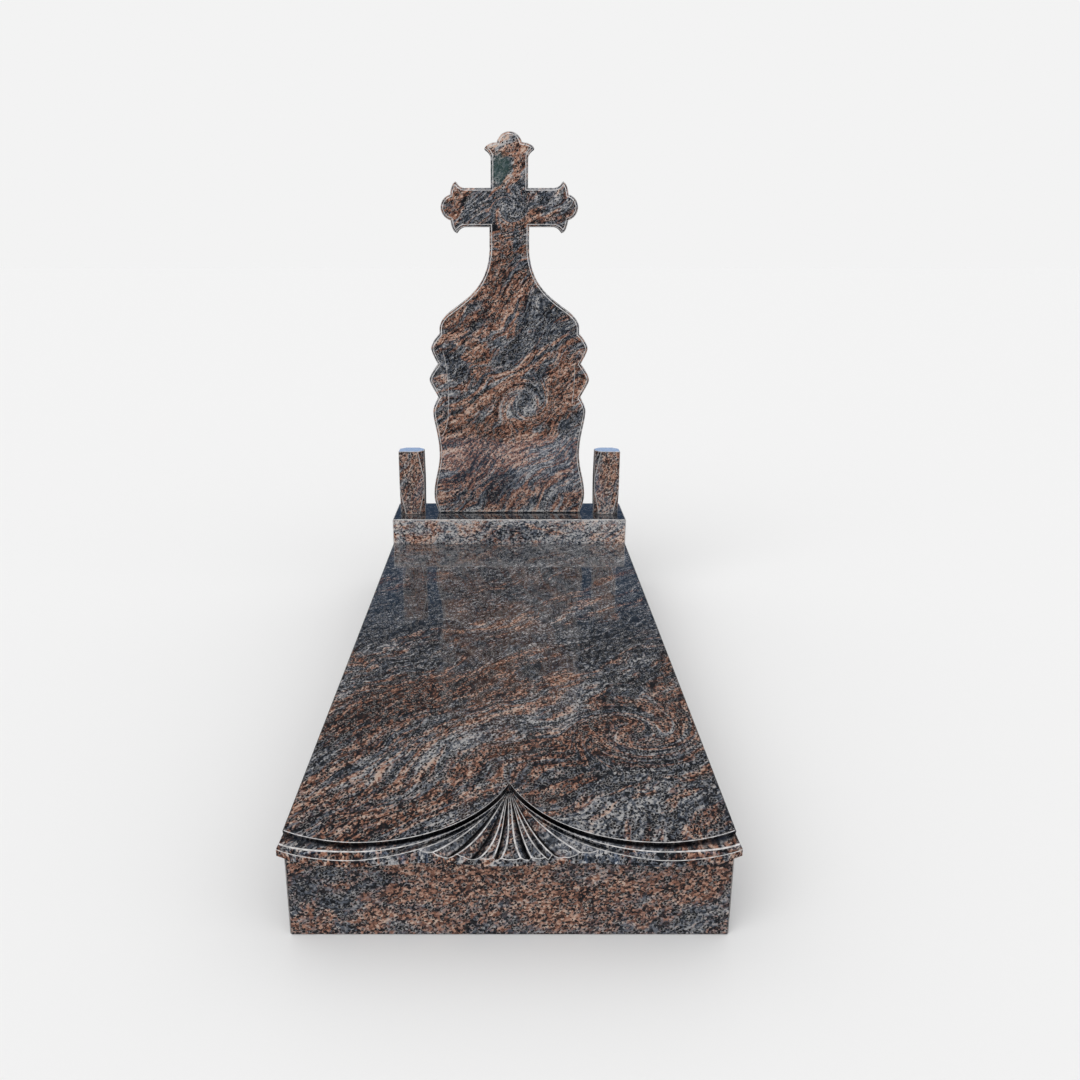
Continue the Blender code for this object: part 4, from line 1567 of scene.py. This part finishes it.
@dataclass
class Headstone:
    """The slab cut to a waisted body and a cross with trefoil ends.

    Heights are measured from the stone's foot. chamfer is how wide the slanted
    edge of the front is. line is how wide the honed strips along its two edges
    are on the slant, pale also as painted highlights of the edges, and
    line_on_side and line_on_front how much of that width they also take up on the
    side and on the front. tip is the ear of a trefoil end, cleft the hollow beyond
    it and lobe how far the end reaches, from where the arm starts to widen.
    sharpest, clear_share and clear_window keep the outline whole at pointed tips
    when it is moved inwards.
    """

    base: float = 0.3403
    front_y: float = 0.975
    thick: float = 0.080
    chamfer: float = 0.0095
    chamfer_depth: float = 0.006
    back_chamfer: float = 0.004
    line: float = 0.0022
    line_on_side: float = 0.5
    line_on_front: float = 0.3
    shaft_half: float = 0.0751
    arm_height: float = 1.179
    arm_half: float = 0.069
    arm_flare_x: float = 0.165
    head_half: float = 0.0697
    head_flare_z: float = 1.350
    tip: Point = (0.0335, 0.0910)
    cleft: Point = (0.0555, 0.0458)
    lobe: float = 0.0915
    fineness: int = 3
    sharpest: float = 0.35
    clear_share: float = 0.97
    clear_window: int = 90
    scratch_half: float = 0.0010
    scratch_depth: float = 0.0012
    scratch_points: int = 24
    stone: Granite = Granite("headstone_stone", Facing.UPRIGHT, 38.0, level=0.02,
                             folds=((3.0, 0.12), (9.0, 0.035), (28.0, 0.004)),
                             ripples=((14.0, 0.022),), stretch=7.0, banding=0.3, streaks=0.3,
                             threads=1.0, hairs=0.9, tinting=1.5, contrast=0.75, crystal=230.0,
                             crystal_length=1.5, flecks=0.36, patch_tone=1.15, patch_tint=0.40,
                             polish=1.55, glaze=0.7, start=(0.2, 0.6, 0.1),
                             patches=STONE_PATCHES + CROSS_PATCHES,
                             swirls=(Swirl((0.060, 0.785), 0.13, 200.0),
                                     Swirl((0.0, 1.512), 0.08, 180.0)))
    edge: HonedEdgeWithPaintedHighlight = HonedEdgeWithPaintedHighlight("headstone_edge")

    def body(self) -> tuple[Turn, ...]:
        """List the right half of the body's outline, upwards.

        Returns:
            Its turns, measured from the middle and from the stone's foot.
        """
        return (
            Turn(0.2877, 0.000, 90.0, 75.0, 0.36, 0.36, 1),
            Turn(0.3044, 0.075, 90.0, 90.0, 0.40, 0.36, 8),
            Turn(0.2800, 0.248, 90.0, 90.0, 0.40, 0.40, 12),
            Turn(0.3022, 0.414, 90.0, 90.0, 0.22, 0.30, 12),
            Turn(0.2800, 0.470, 122.0, 66.0, 0.30, 0.34, 7),
            Turn(0.3130, 0.540, 90.0, 90.0, 0.20, 0.26, 9),
            Turn(0.2790, 0.601, 124.0, 62.0, 0.36, 0.34, 8),
            Turn(0.3042, 0.661, 90.0, 90.0, 0.22, 0.26, 8),
            Turn(0.2705, 0.7165, 137.0, 90.0, 0.30, 0.30, 8),
            Turn(0.2705, 0.735, 90.0, 90.0, 0.30, 0.42, 1),
            Turn(0.2218, 0.8040, 145.0, 145.0, 0.22, 0.33, 10),
            Turn(self.shaft_half, 1.042, 90.0, 90.0, 0.47, 0.30, 14),
            Turn(self.shaft_half, self.arm_height - self.arm_half, 90.0, 0.0, 0.30, 0.30, 1),
        )

    def trefoil(self) -> tuple[Turn, ...]:
        """List half of a trefoil end.

        Returns:
            Its turns, measured along the arm and away from its middle line.
        """
        return (
            Turn(0.0, self.arm_half, 0.0, 0.0, 0.42, 0.42, 1),
            Turn(*self.tip, 56.0, -18.0, 0.30, 0.30, 6),
            Turn(*self.cleft, -82.0, -16.0, 0.36, 0.36, 6),
            Turn(self.lobe, 0.0, -90.0, -90.0, 0.38, 0.38, 6),
        )

    def follow(self, turns: Sequence[Turn]) -> list[Vector]:
        """Draw an outline through its turns.

        Args:
            turns: the turns.

        Returns:
            The outline's points after the first.
        """
        points = []
        for last, turn in zip(turns, turns[1:]):
            start = last.place()
            end = turn.place()
            span = (end - start).length
            out = start + last.reach_out * span * heading(last.leave)
            back = end - turn.reach_in * span * heading(turn.arrive)
            count = turn.points if turn.points == 1 else turn.points * self.fineness
            points += flat_curve((start, out, back, end), count + 1)[1:]
        return points

    def outline(self) -> list[Vector]:
        """Draw the whole outline, anticlockwise from the front.

        Returns:
            Its points.
        """
        body = self.body()
        ending = self.follow(self.trefoil())
        arm = self.arm_height
        lower = [Vector((self.arm_flare_x + p.x, arm - p.y)) for p in ending]
        upper = [Vector((p.x, 2.0 * arm - p.y)) for p in lower[-2::-1]]
        narrow = self.head_half / self.arm_half
        points = [body[0].place(), *self.follow(body)]
        points.append(Vector((self.arm_flare_x, arm - self.arm_half)))
        points += lower + upper
        points.append(Vector((self.arm_flare_x, arm + self.arm_half)))
        points.append(Vector((self.head_half, arm + self.arm_half)))
        points.append(Vector((self.head_half, self.head_flare_z)))
        points += [Vector((p.y * narrow, self.head_flare_z + p.x)) for p in ending]
        return points + [Vector((-p.x, p.y)) for p in points[-2::-1]]

    def clearance(self, points: Sequence[Vector], place: Vector, near: int) -> float:
        """Measure how far a place lies from the outline.

        Args:
            points: the outline.
            place: the place.
            near: the number of the point that it is looked for round.

        Returns:
            The distance.
        """
        nearest = math.inf
        count = len(points)
        for i in range(near - self.clear_window, near + self.clear_window):
            here = points[i % count]
            line = points[(i + 1) % count] - here
            share = (place - here).dot(line) / line.length_squared
            foot = here + line * min(1.0, max(0.0, share))
            nearest = min(nearest, (place - foot).length)
        return nearest

    @staticmethod
    def meeting(a0: Vector, a1: Vector, b0: Vector, b1: Vector) -> Vector:
        """Find where two straight lines meet.

        Args:
            a0: a point of the first line.
            a1: a further point of it.
            b0: a point of the second line.
            b1: a further point of it.

        Returns:
            The crossing, or the middle between them where they are parallel.
        """
        first = a1 - a0
        second = b1 - b0
        turn = first.cross(second)
        if abs(turn) < PARALLEL:
            return (a1 + b0) / 2.0
        return a0 + first * ((b0 - a0).cross(second) / turn)

    def inset(self, points: Sequence[Vector], width: float) -> list[Vector]:
        """Move an outline inwards, keeping one new point for each old one.

        Where the moved outline would cross itself, at a pointed tip, the points
        between are drawn together on the crossing. The foot stays where it is.

        Args:
            points: the outline.
            width: how far it moves.

        Returns:
            The moved outline.
        """
        count = len(points)
        moved = []
        for i, here in enumerate(points):
            before = (here - points[i - 1]).normalized()
            after = (points[(i + 1) % count] - here).normalized()
            normal = (before + after).orthogonal().normalized()
            cosine = max(self.sharpest, abs(normal.dot(before.orthogonal())))
            moved.append(here + normal * (width / cosine))
        good = [self.clearance(points, place, i) > self.clear_share * width
                for i, place in enumerate(moved)]
        i = 0
        while i < count:
            if good[i] or not good[i - 1]:
                i += 1
                continue
            last = i
            while not good[(last + 1) % count]:
                last += 1
            crossing = self.meeting(moved[i - 2], moved[i - 1], moved[(last + 1) % count],
                                    moved[(last + 2) % count])
            for j in range(i, last + 1):
                moved[j % count] = crossing
            i = last + 1
        return [Vector((p.x, 0.0)) if here.y == 0.0 else p for here, p in zip(points, moved)]

    def upright(self, points: Iterable[Vector], y: float) -> list[Vector]:
        """Stand flat points up at a distance from the front."""
        return [Vector((p.x, y, self.base + p.y)) for p in points]

    def scratch(self, carving: Carving, curves: Sequence[Sequence[Point]]) -> None:
        """Cut a fine groove into the front face.

        Args:
            carving: the headstone's mesh.
            curves: the four handles of each curve that the groove follows.
        """
        middle: list[Vector] = []
        for corners in curves:
            middle += flat_curve(corners, self.scratch_points)[1 if middle else 0:]
        sides: list[list[Vector]] = [[], []]
        for i, here in enumerate(middle):
            ahead = middle[min(i + 1, len(middle) - 1)] - middle[max(i - 1, 0)]
            normal = ahead.orthogonal().normalized()
            taper = 0.0 if i in (0, len(middle) - 1) else self.scratch_half
            for side, sign in zip(sides, (1.0, -1.0)):
                side.append(here + normal * (sign * taper))
        brim = self.upright(sides[0] + sides[1][-2:0:-1], self.front_y)
        floor = self.upright(middle + middle[-2:0:-1], self.front_y + self.scratch_depth)
        carving.loft(((brim, ARRIS_SLOT), (floor, ARRIS_SLOT)))

    def build(self) -> None:
        """Cut the headstone."""
        outline = self.outline()
        front = self.front_y
        back = front + self.thick
        slope = self.chamfer_depth / self.chamfer
        line = self.line
        levels = (
            (back, self.back_chamfer, STONE_SLOT),
            (back - self.back_chamfer, 0.0, ARRIS_SLOT),
            (front + self.chamfer_depth + self.line_on_side * line, 0.0, STONE_SLOT),
            (front + self.chamfer_depth - line * slope, line, ARRIS_SLOT),
            (front + line * slope, self.chamfer - line, STONE_SLOT),
            (front, self.chamfer + self.line_on_front * line, ARRIS_SLOT),
        )
        carving = Carving()
        carving.loft((self.upright(self.inset(outline, width) if width else outline, y), slot)
                     for y, width, slot in levels)
        for curves in SCRATCHES:
            self.scratch(carving, curves)
        carving.weld()
        rim = [edge for edge in carving.mesh.edges if edge.is_boundary
               and all(abs(vert.co.y - front) < WELD_GAP for vert in edge.verts)]
        made = bmesh.ops.triangle_fill(carving.mesh, use_beauty=True, edges=rim)
        carving.paint(made["geom"], STONE_SLOT)
        made = bmesh.ops.holes_fill(carving.mesh, edges=carving.mesh.edges, sides=0)
        carving.paint(made["faces"], STONE_SLOT)
        set_stone("cross_headstone", carving, (self.stone.make(), self.edge.make()),
                  "headstone")


@dataclass
class Posts:
    """Two short posts with cut corners beside the headstone.

    A corner's cut runs out at foot_end and starts again at head_start, as
    shares of the height. The field after facet_slant moves the level of the cut
    facets' stone; below 0, as here, it paints them darker, as shade.
    """

    width: float = 0.100
    depth: float = 0.080
    height: float = 0.260
    offset_x: float = 0.391
    front_y: float = 0.947
    base: float = 0.3403
    foot_cut: float = 0.023
    head_cut: float = 0.024
    foot_end: float = 0.42
    head_start: float = 0.56
    arris: float = 0.0018
    facet_slant: float = 0.3
    facet_painted_shade: float = -0.15
    stone: Granite = Granite("post_stone", Facing.UPRIGHT, 65.0, warmth=0.22, level=0.04,
                             ripples=(), stretch=2.5, banding=0.2, streaks=0.3, threads=0.3,
                             crystal=210.0, start=(0.9, 3.1, 0.2),
                             # The first patch darkens and blues the tops, as a painted reflection
                             # of the sky.
                             patches=(Patch((0.0, 0.620), (3.0, 0.0215), 0.0, -0.10, -1.5, 0.1),
                                      Patch((0.45, 0.450), (0.30, 0.40), 0.0, 0.06, 0.0, 0.1)))
    edge: HonedEdgeWithPaintedHighlight = HonedEdgeWithPaintedHighlight("post_edge", (0.56, 0.54, 0.53))

    def corners(self, height: float, cuts: Sequence[float]) -> list[Vector]:
        """Lay out a rectangle with its corners cut.

        Args:
            height: how high it lies.
            cuts: the cut at each corner, anticlockwise from the front left.

        Returns:
            Its eight points in the same order.
        """
        half_x = self.width / 2.0
        half_y = self.depth / 2.0
        points = []
        for (x, y), cut in zip(((-1.0, -1.0), (1.0, -1.0), (1.0, 1.0), (-1.0, 1.0)), cuts):
            along_x = Vector((x * (half_x - cut), y * half_y, height))
            along_y = Vector((x * half_x, y * (half_y - cut), height))
            points += [along_y, along_x] if x == y else [along_x, along_y]
        return points

    def pick_facets(self, carving: Carving) -> None:
        """Give the facets that the cut corners leave a slot of their own.

        Args:
            carving: the post's mesh.
        """
        for face in carving.mesh.faces:
            face.normal_update()
            slanted = min(abs(face.normal.x), abs(face.normal.y)) > self.facet_slant
            if slanted and face.material_index == STONE_SLOT:
                face.material_index = FACET_SLOT

    def cut_post(self, side: float) -> Carving:
        """Cut one post, whose outer front corner stays whole at the head.

        Args:
            side: -1 for the left post and 1 for the right.

        Returns:
            Its mesh.
        """
        whole = [0.0] * 4
        head = [self.head_cut] * 4
        head[1 if side > 0.0 else 0] = 0.0
        levels = ((0.0, [self.foot_cut] * 4), (self.foot_end, whole),
                  (self.head_start, whole), (1.0, head))
        post = Carving()
        post.loft((self.corners(share * self.height, cuts), STONE_SLOT)
                  for share, cuts in levels)
        post.weld()
        shape = post.mesh
        bmesh.ops.holes_fill(shape, edges=shape.edges, sides=0)
        bmesh.ops.recalc_face_normals(shape, faces=shape.faces)
        bmesh.ops.dissolve_limit(shape, angle_limit=FLAT_ANGLE, verts=shape.verts,
                                 edges=shape.edges)
        post.ease(self.arris)
        self.pick_facets(post)
        post.move((side * self.offset_x, self.front_y + self.depth / 2.0, self.base))
        return post

    def build(self) -> None:
        """Cut and dress both posts."""
        edge = self.edge.make()
        for name, node, side in (("left_post", "post_left", -1.0),
                                 ("right_post", "post_right", 1.0)):
            post = self.cut_post(side)
            start = (self.stone.start[0] + side, *self.stone.start[1:])
            stone = replace(self.stone, name=f"{name}_stone", start=start)
            # The cut facets take a darker copy of the stone, as painted shade.
            facet = replace(stone, name=f"{name}_facet",
                            level=self.stone.level + self.facet_painted_shade)
            set_stone(name, post, (stone.make(), edge, facet.make()), node)


# What the polish mirrors, from the horizon at 0 to straight up at 1.
SKY_STOPS = (
    (0.10, (0.05, 0.05, 0.055)),
    (0.15, (0.33, 0.47, 0.72)),
    (0.22, (0.48, 0.66, 1.00)),
    (0.26, (0.045, 0.075, 0.13)),
    (0.36, (0.05, 0.08, 0.125)),
    (0.40, (0.05, 0.05, 0.055)),
    (0.70, (0.06, 0.06, 0.065)),
    (1.00, (0.80, 0.84, 0.94)),
)


@dataclass(frozen=True)
class Lamp:
    """A soft lamp, far off, that shines on the middle of the scene.

    place is the direction that it shines from, and spread how wide it looks,
    in degrees.
    """

    name: str
    place: tuple[float, float, float]
    spread: float
    power: float

    def hang(self) -> None:
        """Set the lamp up, out of the polish's sight."""
        light = bpy.data.lights.new(self.name, "SUN")
        light.angle = math.radians(self.spread)
        light.energy = self.power
        lamp = bpy.data.objects.new(self.name, light)
        lamp.location = self.place
        lamp.rotation_euler = (-Vector(self.place)).to_track_quat("-Z", "Y").to_euler()
        lamp.visible_glossy = False
        bpy.context.scene.collection.objects.link(lamp)


@dataclass
class Studio:
    """A plain pale floor, soft light and the camera.

    pale is the backdrop, dome the light from all round and paper the floor.
    sight is how far the camera sees.
    """

    pale: Colour = (0.896, 0.896, 0.896)
    dome: Colour = (0.80, 0.80, 0.80)
    paper: Colour = (0.84, 0.84, 0.84)
    paper_roughness: float = 0.9
    floor_half: float = 60.0
    lamps: tuple[Lamp, ...] = (Lamp("key_lamp", (-2.6, -3.6, 4.2), 50.0, 1.0),
                               Lamp("fill_lamp", (3.2, -3.2, 2.0), 70.0, 0.4))
    lens: float = 31.33
    sensor: float = 36.0
    sight: float = 500.0
    tilt: float = 72.97
    place: tuple[float, float, float] = (0.0, -2.719, 1.385)
    shift: tuple[float, float] = (0.0284, -0.0065)

    def lay_floor(self) -> None:
        """Lay the floor, which the polish doesn't mirror."""
        shape = bmesh.new()
        bmesh.ops.create_grid(shape, x_segments=1, y_segments=1, size=self.floor_half)
        mesh = bpy.data.meshes.new("studio_floor")
        shape.to_mesh(mesh)
        shape.free()
        mesh.materials.append(MaterialRecipe("studio_paper").finish(
            {"Base Color": self.paper, "Roughness": self.paper_roughness,
             "Specular IOR Level": 0.0}))
        floor = bpy.data.objects.new("studio_floor", mesh)
        floor.visible_glossy = False
        bpy.context.scene.collection.objects.link(floor)

    def hang_sky(self) -> None:
        """Light the scene evenly, with a darker surround for the polish to mirror."""
        world = bpy.data.worlds.new("studio")
        world.use_nodes = True
        bpy.context.scene.world = world
        recipe = Recipe(world.node_tree)
        direction = recipe.node("ShaderNodeTexCoord", {}, {}, "Generated")
        height = recipe.node("ShaderNodeSeparateXYZ", {}, {0: direction}, "Z")
        mirrored = recipe.node("ShaderNodeLightPath", {}, {}, "Is Glossy Ray")
        light = recipe.mix(mirrored, self.dome, recipe.ramp(SKY_STOPS, height))
        seen = recipe.mix(mirrored.also("Is Camera Ray"), light, self.pale)
        recipe.feed(recipe.tree.nodes["Background"].inputs["Color"], seen)

    def set_camera(self) -> None:
        """Put the camera where the photograph was taken from."""
        lens = bpy.data.cameras.new("photograph")
        lens.lens = self.lens
        lens.sensor_width = self.sensor
        lens.shift_x, lens.shift_y = self.shift
        lens.clip_end = self.sight
        camera = bpy.data.objects.new("photograph", lens)
        camera.location = self.place
        camera.rotation_euler = (math.radians(self.tilt), 0.0, 0.0)
        bpy.context.scene.collection.objects.link(camera)
        bpy.context.scene.camera = camera

    def build(self) -> None:
        """Set the whole studio up."""
        self.lay_floor()
        self.hang_sky()
        for lamp in self.lamps:
            lamp.hang()
        self.set_camera()
        bpy.context.scene.view_settings.view_transform = "Standard"


def main() -> None:
    """Build every stone, then the studio round them, and note the sizes."""
    logging.basicConfig(level=logging.INFO, format="%(message)s")
    for part in (Kerb(), CoverSlab(), Plinth(), Headstone(), Posts()):
        LOG.info("building %s", type(part).__name__)
        part.build()
    Studio().build()


if __name__ == "__main__":
    main()
